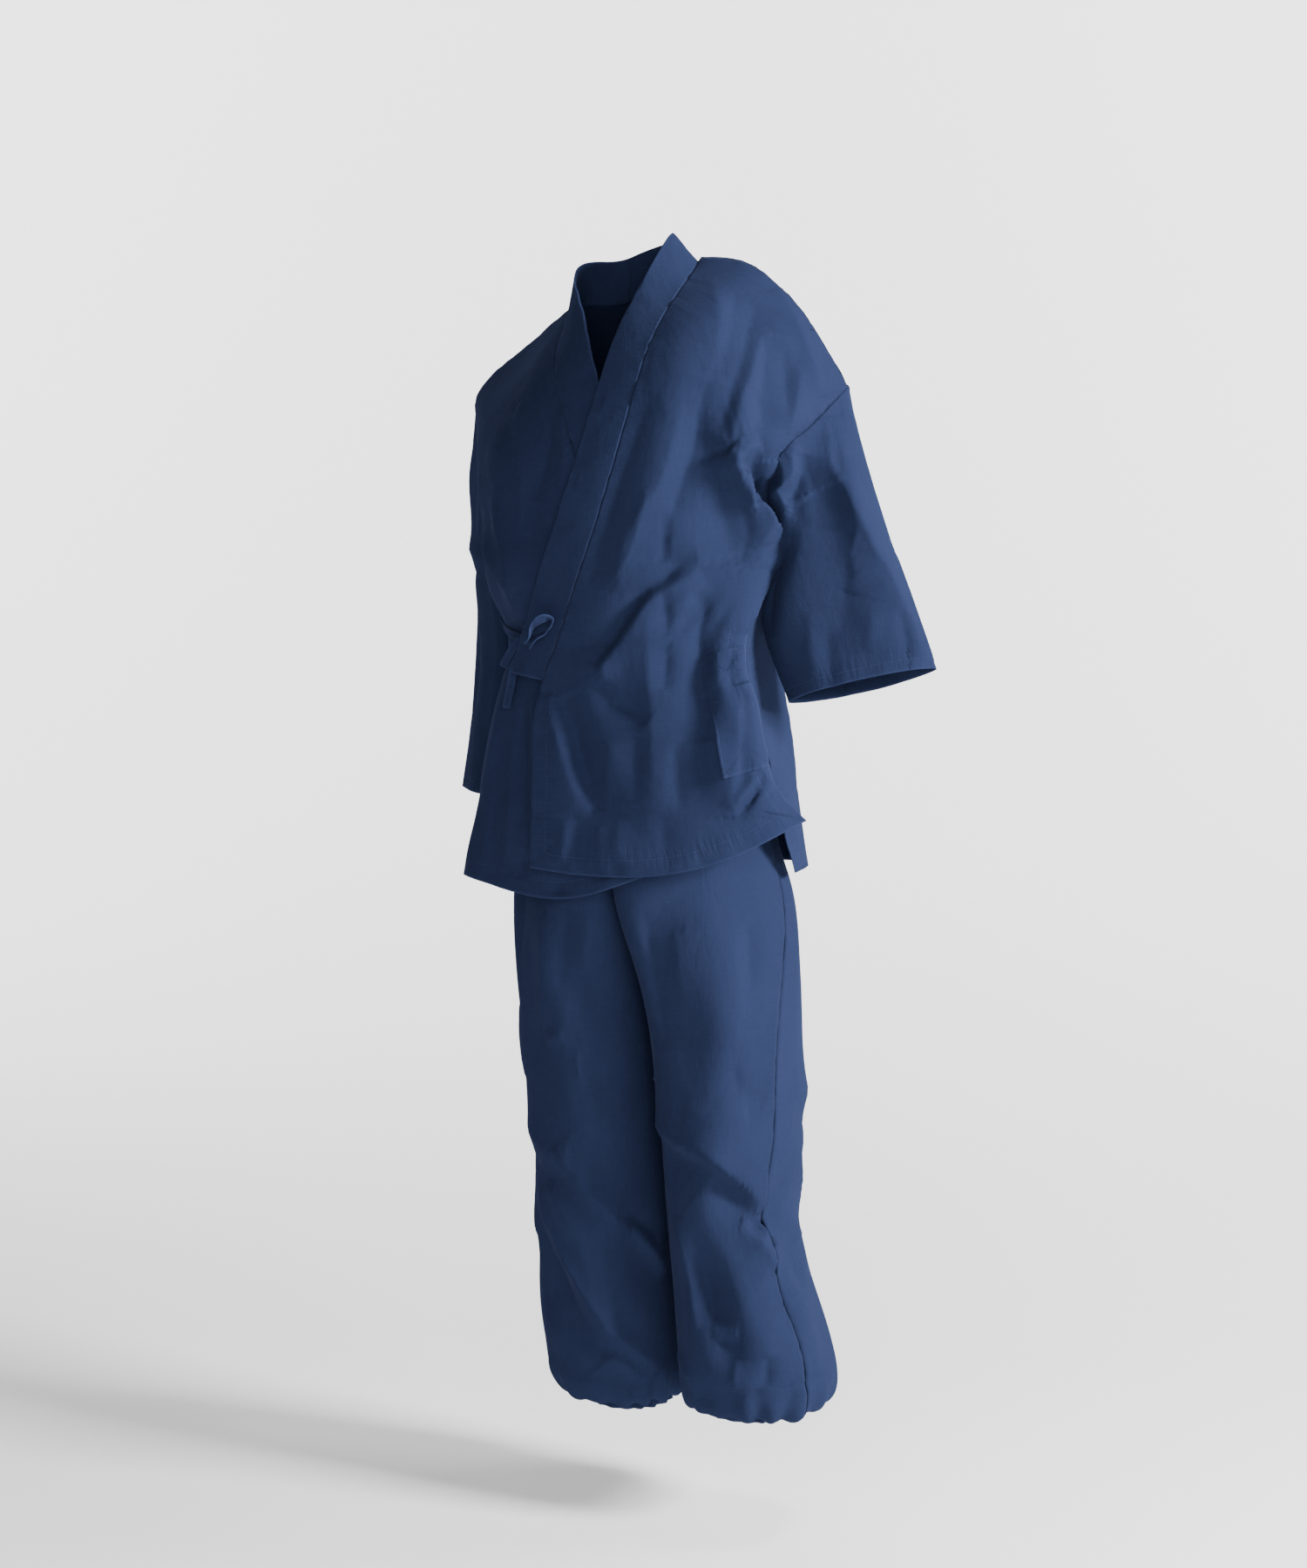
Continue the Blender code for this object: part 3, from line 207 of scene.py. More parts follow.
# The straps of the bow as the picture shows them: the picture points of the middle line, how much nearer
# than the solid it lies and how far it is turned on its edge, in millimetres and degrees.
RIBBONS = {
    "tie_loop": """
        606 739  5 20,  608 731  6 70,  610 721  7 66,  617 712  8 40,  625 709  7 36,  633 711  4 66,
        632 720  1 90,  625 727  0 64,  615 733  1 50,  607 740  2 20
    """,
    "tie_end_above": """
        607 736  6 30,  600 732 10 20,  591 741 11 6,  583 754 10 4,  577 766  8 0
    """,
    "tie_end_below": """
        605 740  3 40,  598 750  5 16,  591 763  5 6,  586 786  5 4,  582 813  4 0
    """,
}
# Millimetres: the width of a strap, the thickness of its cloth and how far its middle stands up.
TIE_WIDTH = 11.0
TIE_CLOTH = 1.5
TIE_CROWN = 0.7
# How much thinner a strap is at its edges, and how many points it has across.
TIE_THINNING = 2.4
TIE_POINTS = 7
# Picture points from one row to the next, and squared ones over which the solid's depth is averaged.
TIE_STEP = 1.6
DEPTH_BLUR = 60.0


def tie_line(node):
    """The middle line of a tie, as deep in the picture as its solid, and how far it is turned on its edge."""
    across, down, near, turn = eased(line_of(RIBBONS[node]), TIE_STEP).T
    eye, right, up, forward = (np.array(way) for way in view(FRONT))
    solid = np.array([vert.co[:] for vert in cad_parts[node].data.vertices]) - eye
    depth = solid @ forward
    seen = FOCAL_POINTS * np.stack([solid @ right, -(solid @ up)], axis=1) / depth[:, None]
    seen += np.array(PICTURE) / 2
    apart = ((np.stack([across, down], axis=1)[:, None] - seen[None])**2).sum(axis=2)
    weight = np.exp(-(apart - apart.min(axis=1)[:, None]) / DEPTH_BLUR)
    far = (weight * depth).sum(axis=1) / weight.sum(axis=1) - near * MM
    sight_line = (forward + np.outer((across - PICTURE[0] / 2) / FOCAL_POINTS, right)
                  + np.outer((PICTURE[1] / 2 - down) / FOCAL_POINTS, up))
    return eye + sight_line * far[:, None], np.radians(turn)[:, None], forward


def ribbon(node):
    """A flat strap of two layers along the line of a tie."""
    middle, turn, forward = tie_line(node)
    tangent = unit(np.gradient(middle, axis=0))
    flat = unit(np.cross(-forward, tangent))
    side = flat * np.cos(turn) + np.cross(tangent, flat) * np.sin(turn)
    normal = np.cross(tangent, side)
    points = []
    for level in (0.5, -0.5):
        for share in np.linspace(-0.5, 0.5, TIE_POINTS):
            rise = TIE_CROWN * (1 - 4 * share**2) + TIE_CLOTH * level * (1 - TIE_THINNING * abs(share)**3)
            points.append(middle + side * (TIE_WIDTH * share * MM) + normal * (rise * MM))
    count = len(middle)
    under = TIE_POINTS * count
    faces, rim = [], []
    for row in range(TIE_POINTS - 1):
        for place in range(count - 1):
            a = row * count + place
            b, c, d = a + 1, a + count + 1, a + count
            faces += [(a, b, c, d), (d + under, c + under, b + under, a + under)]
            rim += [(a, b)] * (row == 0) + [(c, d)] * (row == TIE_POINTS - 2)
            rim += [(d, a)] * (place == 0) + [(b, c)] * (place == count - 2)
    faces += [(a, a + under, b + under, b) for a, b in rim]
    mesh = bpy.data.meshes.new("cloth_" + node)
    mesh.from_pydata(np.concatenate(points).tolist(), [], faces)
    sides = mesh.attributes.new("side", "FLOAT", "POINT")
    sides.data.foreach_set("value", np.repeat([1.0, -1.0], under))
    mesh.polygons.foreach_set("use_smooth", [True] * len(mesh.polygons))
    piece = bpy.data.objects.new("cloth_" + node, mesh)
    bpy.context.scene.collection.objects.link(piece)
    return piece


def taken(items, name, width, kind=float):
    """One value of every item of a mesh, as an array with this many columns."""
    flat = np.empty(len(items) * width, kind)
    items.foreach_get(name, flat)
    return flat.reshape(-1, width) if width > 1 else flat


# A face is on one side of the cloth where the mean of its corners' sides is beyond this.
ALL_ONE_SIDE = 0.999
# Neighbours on a rim whose places along it differ by more millimetres than this are its two ends.
RIM_END = 40.0


class Cloth:
    """A shell with what the creases, hems and seams are worked out from."""

    def __init__(self, piece, row):
        mesh = piece.data
        self.piece, self.row, self.node = piece, row, row["node"]
        self.points = taken(mesh.vertices, "co", 3)
        self.side = taken(mesh.attributes["side"].data, "value", 1)
        self.edges = taken(mesh.edges, "vertices", 2, np.int32)
        self.corners = taken(mesh.polygons, "vertices", 4, np.int32)
        self.face_side = self.side[self.corners].mean(axis=1)
        self.out = self.sheet_normals()
        self.find_border()

    def spread(self, ways, times, known=None):
        """Directions spread along the edges; where known is given, only the unknown ones change."""
        a, b = self.edges.T
        for _ in range(times):
            total = np.zeros_like(ways)
            np.add.at(total, a, ways[b])
            np.add.at(total, b, ways[a])
            ways = unit(total) if known is None else np.where(known[:, None], ways, unit(total))
        return ways

    def sheet_normals(self):
        """At every point the way out of the cloth, the same on both of its sides."""
        places = self.points[self.corners]
        area = np.cross(places[:, 2] - places[:, 0], places[:, 3] - places[:, 1])
        area *= np.sign(self.face_side)[:, None]
        area[np.abs(self.face_side) < ALL_ONE_SIDE] = 0.0
        out = np.zeros_like(self.points)
        for column in range(4):
            np.add.at(out, self.corners[:, column], area)
        length = np.linalg.norm(out, axis=1)
        known = length > 1e-12
        out /= np.maximum(length, 1e-12)[:, None]
        out = self.spread(out, 10, known)
        return self.spread(out, 2)

    def find_border(self):
        """The loops where the outer side of the cloth meets its rim, and how far along them each point is."""
        follows = {}
        inside = set()
        for face, level in zip(self.corners.tolist(), self.face_side):
            if level > ALL_ONE_SIDE:
                inside.update(zip(face, face[1:] + face[:1]))
        for a, b in inside:
            if (b, a) not in inside:
                follows[a] = b
        self.loops = []
        while follows:
            start, b = follows.popitem()
            loop = [start]
            while b != start and b in follows:
                loop.append(b)
                b = follows.pop(b)
            self.loops.append(loop)
        self.rim_points, self.rim_next, self.rim_along = [], [], []
        for loop in self.loops:
            first = len(self.rim_points)
            steps = np.linalg.norm(np.diff(self.points[loop], axis=0), axis=1)
            self.rim_points += loop
            self.rim_next += [first + k + 1 for k in range(len(loop) - 1)] + [first]
            self.rim_along += [0.0] + np.cumsum(steps).tolist()
        self.rim_next = np.array(self.rim_next, int)
        self.rim_along = np.array(self.rim_along) / MM
        self.rim_back = np.empty(len(self.rim_points), int)
        self.rim_back[self.rim_next] = np.arange(len(self.rim_points))

    def on_rim(self, points, tree, reach):
        """(nearest rim point or -1, distance, place on the rim, length along it) of each point."""
        rim = self.points[self.rim_points]
        near = np.full(len(points), -1)
        for k, point in enumerate(points):
            _, index, distance = tree.find(point)
            if distance < reach:
                near[k] = index
        place, along = rim[near].copy(), self.rim_along[near].copy()
        distance = np.linalg.norm(points - place, axis=1)
        for other in (self.rim_next[near], self.rim_back[near]):
            way = rim[other] - rim[near]
            length = np.maximum((way**2).sum(axis=1), 1e-12)
            share = np.clip(((points - rim[near]) * way).sum(axis=1) / length, 0.0, 1.0)
            spot = rim[near] + way * share[:, None]
            closer = np.linalg.norm(points - spot, axis=1) < distance
            run = self.rim_along[other] - self.rim_along[near]
            run = np.where(np.abs(run) < RIM_END, run, 0.0)
            place[closer], along[closer] = spot[closer], (self.rim_along[near] + run * share)[closer]
            distance[closer] = np.linalg.norm(points - spot, axis=1)[closer]
        return near, distance, place, along

    def rim_tree(self):
        """A tree of the rim points."""
        tree = KDTree(len(self.rim_points))
        for k, point in enumerate(self.rim_points):
            tree.insert(self.points[point], k)
        tree.balance()
        return tree


# In metres: rims nearer than SEAM_GAP are brought together, and nearer than half of it they are sewn. Cloth
# moves with its rim within SEAM_REACH and knows its distance from it within HEM_REACH. FAR, in millimetres,
# stands for out of reach.
SEAM_GAP = 0.012
SEAM_REACH = 0.020
HEM_REACH = 0.045
FAR = 99.0
# Pieces whose rims aren't sewn to the rim of another.
UNSEWN = {"pocket", "left_tie", "right_tie", "tie_loop", "tie_end_above", "tie_end_below", "tie_knot"}


def close_seams(cloths):
    """Brings the rims of pieces that are sewn together to meet half way, and marks which rims are seams."""
    for cloth in cloths.values():
        cloth.seam = cloth.edge = np.full(len(cloth.points), FAR)
        cloth.along = np.zeros(len(cloth.points))
    cloths = {node: cloth for node, cloth in cloths.items() if len(cloth.rim_points)}
    trees = {node: cloth.rim_tree() for node, cloth in cloths.items()}
    moves = {}
    for node, cloth in cloths.items():
        rim = cloth.points[cloth.rim_points]
        gap, move = np.full(len(rim), FAR), np.zeros_like(rim)
        for other, their in cloths.items():
            if other == node or UNSEWN & {node, other}:
                continue
            near, distance, place, _ = their.on_rim(rim, trees[other], SEAM_GAP)
            closer = (near >= 0) & (distance < gap)
            gap[closer] = distance[closer]
            fade = np.clip(1.0 - (distance / SEAM_GAP) ** 2, 0.0, 1.0)
            move[closer] = ((place - rim) / 2 * fade[:, None])[closer]
        cloth.sewn = gap < SEAM_GAP / 2
        moves[node] = move
    for node, cloth in cloths.items():
        near, distance, _, cloth.along = cloth.on_rim(cloth.points, trees[node], HEM_REACH)
        close = np.clip(1.0 - distance / SEAM_REACH, 0.0, 1.0) ** 2
        sewn = cloth.sewn[near] & (near >= 0)
        distance = np.where(near < 0, FAR * MM, distance) / MM
        cloth.seam = np.where(sewn, distance, FAR)
        cloth.edge = np.where(sewn, FAR, distance)
        cloth.points += moves[node][near] * np.where(near >= 0, close, 0.0)[:, None]


# How far a line of sight goes, in metres.
SIGHT_LENGTH = 9.0


def on_surface(node, angle, line):
    """Where a line of picture points meets a node's near side: (points, normals), misses left out."""
    places, normals = [], []
    graph = bpy.context.evaluated_depsgraph_get()
    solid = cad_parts[node]
    for across, down in line:
        eye, way = sight(angle, across, down)
        hit, place, normal, _ = solid.ray_cast(eye, way, distance=SIGHT_LENGTH, depsgraph=graph)
        if hit:
            places.append(place[:])
            normals.append(normal[:])
    return np.array(places), np.array(normals)


# How pointed a crease is: 2 is round, 1 is a sharp ridge with straight sides.
POINTED = 1.2
# How blunt its ends are (near 0: full height up to the end), how many of its widths away it still reaches,
# the picture points from one place on it to the next, and how often its normals are evened out.
BLUNT = 0.6
WIDTHS_REACHED = 2.4
CREASE_STEP = 4.0
EVENINGS = 8
# Points of cloth worked on at once.
AT_ONCE = 3000


def press(cloths, angle, node, moved, height, left, right, line):
    """Raises (or sinks, below 0) the moved cloths along a line seen on a node, fading out at its ends."""
    places, normals = on_surface(node, angle, eased(line, CREASE_STEP))
    if len(places) < 3:
        print("no crease on", node, line)
        return
    for _ in range(EVENINGS):
        normals[1:-1] = normals[:-2] + normals[1:-1] + normals[2:]
        normals = unit(normals)
    rightward = np.cross(normals, unit(np.gradient(places, axis=0)))
    steps = np.linalg.norm(np.diff(places, axis=0), axis=1)
    along = np.concatenate([[0.0], np.cumsum(steps)])
    along /= max(along[-1], 1e-6)
    swell = np.sin(np.pi * np.clip(along, 0.0, 1.0)) ** BLUNT
    reach = WIDTHS_REACHED * max(left, right) * MM
    low, high = places.min(axis=0) - reach, places.max(axis=0) + reach
    for name in moved:
        cloth = cloths[name]
        near = np.flatnonzero(np.all((cloth.points > low) & (cloth.points < high), axis=1))
        for part in np.array_split(near, len(near) // AT_ONCE + 1):
            if not len(part):
                continue
            apart = cloth.points[part][:, None] - places[None]
            distance = np.linalg.norm(apart, axis=2)
            nearest = distance.argmin(axis=1)
            own = np.arange(len(part))
            across = (apart[own, nearest] * rightward[nearest]).sum(axis=1)
            width = np.where(across > 0, right, left) * MM
            lift = height * MM * swell[nearest] * np.exp(-(distance[own, nearest] / width) ** POINTED)
            cloth.shift[part] += normals[nearest] * lift[:, None]


# Pieces that move together.
TIES = " left_tie right_tie tie_knot tie_loop tie_end_above tie_end_below"
JACKET = "left_front right_front collar pocket back" + TIES
LEFT_ARM = "left_front left_sleeve back"
LEFT_TROUSER = "left_leg_front left_leg_back left_ankle"
RIGHT_TROUSER = "right_leg_front right_leg_back right_ankle"

# Creases by the angle they are seen from, the piece they are seen on and the pieces that move with it. Each
# row has the height, the widths to the viewer's left and right of a line that runs down (below and above one
# that runs to the right), all in millimetres, then the picture points of the line.
CREASES = {
    (FRONT, "left_front", LEFT_ARM + " collar"): """
    13  40 26 878 376, 868 412, 857 446, 848 478, 838 512
    -8  22 16 868 345, 862 378, 854 408, 842 450, 826 500
    -11 14 24 880 384, 879 420, 876 460, 873 498
    9   10 12 838 512, 846 519, 859 514, 874 508
    8   18 30 890 330, 912 372, 930 418, 942 458
    4   16 20 815 316, 826 362, 815 428
    -5  18 18 845 330, 840 380, 822 440
    -4  10 14 900 400, 904 440, 905 480
    5   10 22 918 420, 912 470, 905 500
    -16 9  9  852 524, 862 545, 869 570, 874 592
    """,
    (FRONT, "left_front", "left_front back"): """
    18  36 7  838 512, 848 532, 858 556, 867 590, 875 628, 877 668
    """,
    (FRONT, "left_front", JACKET): """
    10  18 7  838 518, 851 561, 866 594, 877 637, 878 668, 866 694, 844 732
    -9  30 16 836 540, 845 587, 846 627, 840 660
    -10 30 24 800 470, 812 540, 826 600, 838 650
    -10 14 6  799 646, 780 649, 767 661, 753 673, 739 683, 728 696, 707 729, 684 765
    8   6  30 799 652, 775 668, 760 676, 741 692, 725 719, 702 752, 684 779
    -6  10 10 760 676, 762 696, 767 729
    -11 25 7  796 678, 808 696, 807 719, 806 742, 806 807, 810 853
    14  24 40 841 742, 839 790, 837 840, 835 887, 834 940
    -10 6  10 845 937, 858 921, 879 889
    7   10 8  836 930, 850 912, 868 890
    11  34 9  629 795, 640 830, 652 875, 663 910, 679 933
    -10 9  28 640 800, 655 835, 664 870, 673 905, 683 935
    -7  10 14 685 784, 698 807, 707 811, 730 820, 744 832
    7   26 20 690 740, 694 770, 690 790
    6   22 22 744 703, 748 807, 747 898
    -6  13 13 730 841, 728 921
    -6  13 11 767 738, 764 795
    4   15 15 700 850, 697 930
    -4  9  9  775 850, 779 930
    3   16 16 712 935, 709 996
    -3  14 14 760 930, 763 996
    -6  18 18 749 449, 719 525, 693 607, 678 668
    6   20 20 780 464, 759 546, 719 617, 703 678
    -7  16 16 810 439, 795 515, 772 587, 759 648
    4   14 16 771 575, 769 645
    -3  12 12 762 590, 760 648
    4   10 10 744 560, 728 620, 707 670
    5   12 12 652 940, 642 998
    -3  10 10 662 930, 654 996
    2   14 14 690 940, 686 998
    """,
    (FRONT, "right_front", "right_front collar back" + TIES): """
    8   12 22 563 566, 578 627, 588 694, 596 719
    6   5  8  594 680, 598 700, 605 728
    -6  7  7  600 672, 606 700, 612 722
    4   5  6  612 690, 614 712, 612 728
    6   18 18 596 464, 601 546, 599 617
    -6  13 13 624 428, 629 505, 616 576
    4   9  12 640 470, 648 520, 640 570
    7   15 8  596 795, 590 870, 586 950, 580 1000
    -6  8  10 604 800, 600 870, 598 950
    4   10 10 570 880, 560 950, 552 1000
    """,
    (FRONT, "right_front", "right_front"): """
    -4  12 12 640 1008, 641 1030
    4   12 12 700 1006, 703 1026
    -4  10 10 600 975, 594 1010
    """,
    (FRONT, "left_sleeve", LEFT_ARM): """
    10  34 30 930 452, 952 500, 976 561, 999 612, 1030 683, 1055 734, 1070 762
    -5  44 16 938 480, 962 540, 990 610, 1018 670
    10  26 8  890 498, 909 523, 903 548, 890 574, 876 592
    -8  10 14 922 520, 914 556, 900 590
    -12 8  8  878 602, 886 612, 896 618
    7   20 36 930 604, 922 650, 914 700, 906 760
    -7  16 10 912 620, 902 670, 896 730
    5   9  14 884 640, 882 700, 890 770
    -4  18 18 984 597, 975 660, 968 730
    4   20 20 1000 690, 1000 750
    -4  10 10 1030 700, 1044 760
    3   8  10 940 700, 936 780
    -3  8  8  955 720, 953 780
    """,
    (FRONT, "left_leg_front", LEFT_TROUSER): """
    18  9  44 750 1290, 768 1302, 803 1321, 838 1347, 864 1374, 885 1401, 926 1434
    -9  44 10 764 1316, 800 1338, 834 1364, 860 1392, 882 1420, 916 1450
    -10 14 22 864 1396, 890 1431, 920 1483, 942 1518, 950 1557
    8   10 20 852 1400, 876 1440, 900 1490, 918 1540
    -10 13 12 799 1440, 807 1479, 820 1526
    7   10 18 780 1400, 784 1460, 795 1530
    8   6  10 820 1539, 829 1531, 846 1535
    -6  6  6  822 1548, 833 1541, 850 1545
    -6  9  9  881 1557, 877 1596
    6   9  9  845 1560, 842 1600
    -8  14 24 738 1045, 746 1088, 755 1153, 764 1205
    7   34 30 777 1067, 785 1175
    6   6  6  751 1236, 753 1257
    4   30 30 840 1050, 846 1140, 842 1240
    -4  14 14 858 1060, 862 1140
    -4  18 12 840 1200, 850 1250, 880 1262
    6   14 10 786 1275, 820 1282, 860 1275
    7   8  8  772 1540, 790 1580, 800 1606
    """,
    (FRONT, "left_leg_back", LEFT_TROUSER): """
    12  8  36 884 1398, 900 1410, 917 1422
    -10 40 10 888 1432, 905 1446, 921 1458
    16  62 22 888 1408, 901 1450, 915 1500, 930 1552, 938 1580
    """,
    (FRONT, "right_leg_front", RIGHT_TROUSER): """
    -8  16 16 647 1036, 647 1088, 642 1153
    6   18 18 620 1050, 624 1130, 622 1180
    6   20 20 676 1050, 672 1120
    6   5  5  668 1201, 664 1223, 668 1240
    -4  4  4  673 1205, 669 1223, 673 1238
    6   8  6  625 1192, 647 1188
    -4  6  6  650 1180, 668 1200
    13  6  18 725 1409, 745 1437, 764 1464
    -10 8  16 707 1396, 730 1402, 758 1420
    22  10 44 621 1360, 647 1440, 673 1496, 707 1537, 759 1574
    -16 34 14 616 1400, 640 1472, 668 1524, 700 1560
    12  16 24 636 1316, 668 1360, 700 1390, 725 1412
    -9  16 14 624 1330, 650 1366, 690 1400
    6   8  8  690 1560, 715 1565, 735 1585
    """,
    (BACK, "back", "back left_sleeve right_sleeve left_front right_front collar"): """
    8   16 34 586 400, 600 460, 612 520, 616 590
    -8  12 20 612 410, 628 480, 637 550, 634 630
    9   34 14 840 410, 833 480, 821 550, 812 630
    -7  18 12 814 400, 808 480, 796 560
    6   26 20 672 400, 666 520, 656 640, 653 760, 658 900
    -6  20 20 710 440, 706 590, 702 740, 708 930
    7   16 28 758 480, 768 610, 780 750, 792 900
    -5  16 16 796 640, 806 760, 822 920
    5   18 18 618 720, 608 820, 600 935
    -6  14 18 632 690, 630 800, 627 925
    7   9  20 596 600, 638 648, 684 690, 732 712
    -6  9  14 606 634, 646 684, 690 722
    5   8  16 630 560, 670 606, 722 648
    7   9  18 822 590, 790 644, 752 690, 710 708
    -6  9  13 814 636, 782 690, 742 726
    4   8  14 636 742, 690 756, 740 750, 790 734
    -4  9  11 628 772, 680 786, 732 778
    4   14 14 700 344, 704 400, 706 450
    -4  12 12 740 350, 755 400, 766 450
    6   12 22 678 850, 676 950
    -5  12 16 732 850, 737 952
    5   10 16 770 870, 782 948
    """,
    (BACK, "left_sleeve", LEFT_ARM): """
    9   12 30 540 460, 514 540, 486 620, 462 706
    -7  14 16 560 510, 540 580, 524 660, 514 736
    6   9  12 500 470, 474 560, 446 660
    6   9  18 572 560, 550 630, 545 720
    -5  8  8  458 600, 498 640, 540 660
    """,
    (BACK, "right_sleeve", "right_front right_sleeve back"): """
    7   10 20 882 470, 892 560, 894 640, 904 720, 920 870
    -6  10 14 872 500, 878 600, 880 660
    6   7  12 872 600, 892 620, 920 614
    -6  7  9  876 642, 897 662, 924 650
    6   7  12 887 690, 907 702, 930 688
    5   9  16 927 740, 934 866
    """,
    (BACK, "left_leg_back", LEFT_TROUSER): """
    8   12 20 680 990, 652 1036, 624 1090, 604 1160
    -6  12 14 660 975, 630 1030, 604 1092
    -6  18 18 580 1000, 580 1100, 576 1220
    6   20 20 642 1100, 641 1200, 634 1300
    9   9  24 538 1258, 580 1290, 630 1300, 678 1286
    -8  11 9  542 1290, 580 1318, 632 1328
    7   9  20 534 1330, 580 1366, 642 1380
    -6  11 11 540 1372, 576 1402, 632 1412
    9   18 30 580 1400, 562 1450, 540 1496
    -7  14 16 612 1400, 608 1450, 600 1505
    7   14 18 642 1390, 652 1450, 662 1500
    4   16 16 550 1040, 544 1140, 542 1220
    """,
    (BACK, "right_leg_back", RIGHT_TROUSER): """
    8   18 12 694 990, 730 1050, 762 1110, 780 1190
    -6  14 12 714 985, 744 1035, 774 1092
    -6  18 18 804 1000, 802 1100, 794 1220
    6   20 20 742 1120, 738 1220, 732 1320
    8   9  22 690 1280, 732 1300, 782 1296, 834 1268
    -8  9  11 694 1312, 742 1332, 792 1328, 830 1304
    8   9  22 698 1350, 742 1380, 792 1400, 828 1406
    -7  11 13 710 1400, 762 1432, 814 1442
    9   18 26 744 1440, 734 1480, 722 1518
    -7  14 16 784 1440, 789 1490, 792 1522
    7   14 18 806 1430, 814 1482
    """,
    (LEFT, "back", "back left_front left_sleeve"): """
    -6  16 16 830 560, 836 660, 842 760, 846 905
    7   14 24 790 590, 790 700, 786 800, 780 925
    6   16 16 742 760, 736 840, 730 935
    7   9  18 700 640, 740 692, 792 722
    -6  9  14 700 682, 745 732, 802 754
    -5  12 14 760 820, 758 930
    """,
    (LEFT, "left_sleeve", LEFT_ARM): """
    9   14 26 718 440, 698 500, 676 580, 652 694
    -7  14 14 760 470, 744 540, 724 620, 704 706
    6   9  16 682 450, 666 520, 652 600
    5   8  12 736 600, 722 660, 710 720
    """,
    (LEFT, "left_leg_back", LEFT_TROUSER): """
    -5  16 22 760 980, 764 1080, 768 1200
    5   20 20 712 1010, 708 1120, 702 1230
    5   11 24 690 1270, 740 1290, 790 1284, 828 1262
    -4  12 14 690 1302, 744 1324, 802 1312
    6   12 24 700 1350, 740 1392, 780 1442, 800 1504
    -5  14 12 732 1350, 772 1394, 808 1442
    5   14 18 722 1440, 714 1496
    """,
    (RIGHT, "right_sleeve", "right_front right_sleeve back"): """
    5   14 30 598 470, 566 560, 536 640, 516 740, 504 870
    -4  16 18 556 520, 530 600, 502 690, 476 806
    5   9  16 512 640, 556 662, 608 664
    -4  10 12 510 672, 558 694, 604 690
    4   12 20 596 700, 592 780, 588 878
    5   10 18 638 556, 608 600, 586 646
    -4  9  9  541 760, 538 876
    """,
    (RIGHT, "right_front", "right_front collar back"): """
    6   10 18 700 560, 730 620, 780 668, 820 688
    -6  11 11 700 602, 736 652, 792 690
    6   16 16 742 780, 734 860, 737 935
    -6  14 12 800 760, 800 850, 806 935
    5   12 12 770 820, 766 940
    """,
    (RIGHT, "right_leg_front", RIGHT_TROUSER): """
    -6  16 18 760 1000, 758 1090, 764 1180
    6   18 22 730 1180, 740 1262
    5   11 24 704 1290, 740 1320, 790 1330, 820 1314
    -4  12 14 706 1326, 744 1353, 802 1360
    6   14 26 716 1380, 740 1440, 762 1500
    -5  14 16 780 1380, 776 1440, 787 1500
    """,
}


# Places pulled or swollen to where they show: the piece, a piece sewn to it that moves with it, the angle it
# is seen from, the picture point, and in millimetres how far it goes to the right, up and out of the cloth
# and how wide its reach is.
PULLS = """
node            also           angle across down right up out reach
right_front     none           25    788    1006 4     16 0   70
left_sleeve     none           25    900    665  -12   0  0   75
left_sleeve     none           25    900    730  -6    0  0   50
left_front      none           25    868    668  6     0  0   50
left_front      none           25    850    772  6     0  0   40
pocket          none           25    852    772  6     0  0   40
left_front      back           25    867    640  0     0  10  70
left_front      right_front    25    745    760  0     0  6   60
left_leg_front  left_leg_back  25    806    1480 0     0  -12 60
left_leg_front  left_leg_back  25    826    1330 0     0  7   50
right_leg_front right_leg_back 25    690    1300 0     0  6   50
right_leg_front right_leg_back 25    690    1440 0     0  -8  55
right_sleeve    none           25    538    600  17    0  0   62
"""


def pull_all(cloths):
    """Pulls a few edges and swells a few places to where they show."""
    for row in rows(PULLS):
        places, normals = on_surface(row["node"], row["angle"], [(row["across"], row["down"])])
        if not len(places):
            print("no pull on", row["node"])
            continue
        _, right, up, _ = view(row["angle"])
        way = np.array(right * row["right"] + up * row["up"]) + normals[0] * row["out"]
        for node in {row["node"], row["also"]} & set(cloths):
            apart = np.linalg.norm(cloths[node].points - places[0], axis=1) / (row["reach"] * MM)
            cloths[node].shift += way * MM * np.exp(-apart[:, None] ** 2)


# How many random values smooth noise is made from, and the steps between them along the three axes.
NOISE_VALUES = 4096
NOISE_STEPS = (73, 179, 283)


def noise(points, scale, seed):
    """Smooth noise from -1 to 1 at points, with a grain of this size along each axis."""
    table = np.random.RandomState(seed).uniform(-1.0, 1.0, NOISE_VALUES)
    spot = points / np.array(scale)
    cell = np.floor(spot).astype(int)
    part = spot - cell
    part = part * part * (3.0 - 2.0 * part)
    total = np.zeros(len(points))
    for corner in range(8):
        step = np.array([corner & 1, corner >> 1 & 1, corner >> 2 & 1])
        share = np.prod(np.where(step, part, 1.0 - part), axis=1)
        key = ((cell + step) * np.array(NOISE_STEPS)).sum(axis=1) % NOISE_VALUES
        total += share * table[key]
    return total


# Slack of the cloth between the creases: height in millimetres, size across and along in metres.
SLACK = ((1.5, 0.060, 0.200), (0.5, 0.024, 0.070))
# Puckers along hems and seams in millimetres: height, length along the edge and how far in they reach.
HEM_PUCKERS = (1.1, 15.0, 26.0)
SEAM_PUCKERS = (0.7, 11.0, 12.0)

# Gathers over the ankle elastic: how many, their height and how high up they reach in millimetres.
GATHERS = (16, 3.6, 42.0)
ANKLES = {
    "left_ankle": ("left_leg_front", "left_leg_back"),
    "right_ankle": ("right_leg_front", "right_leg_back"),
}


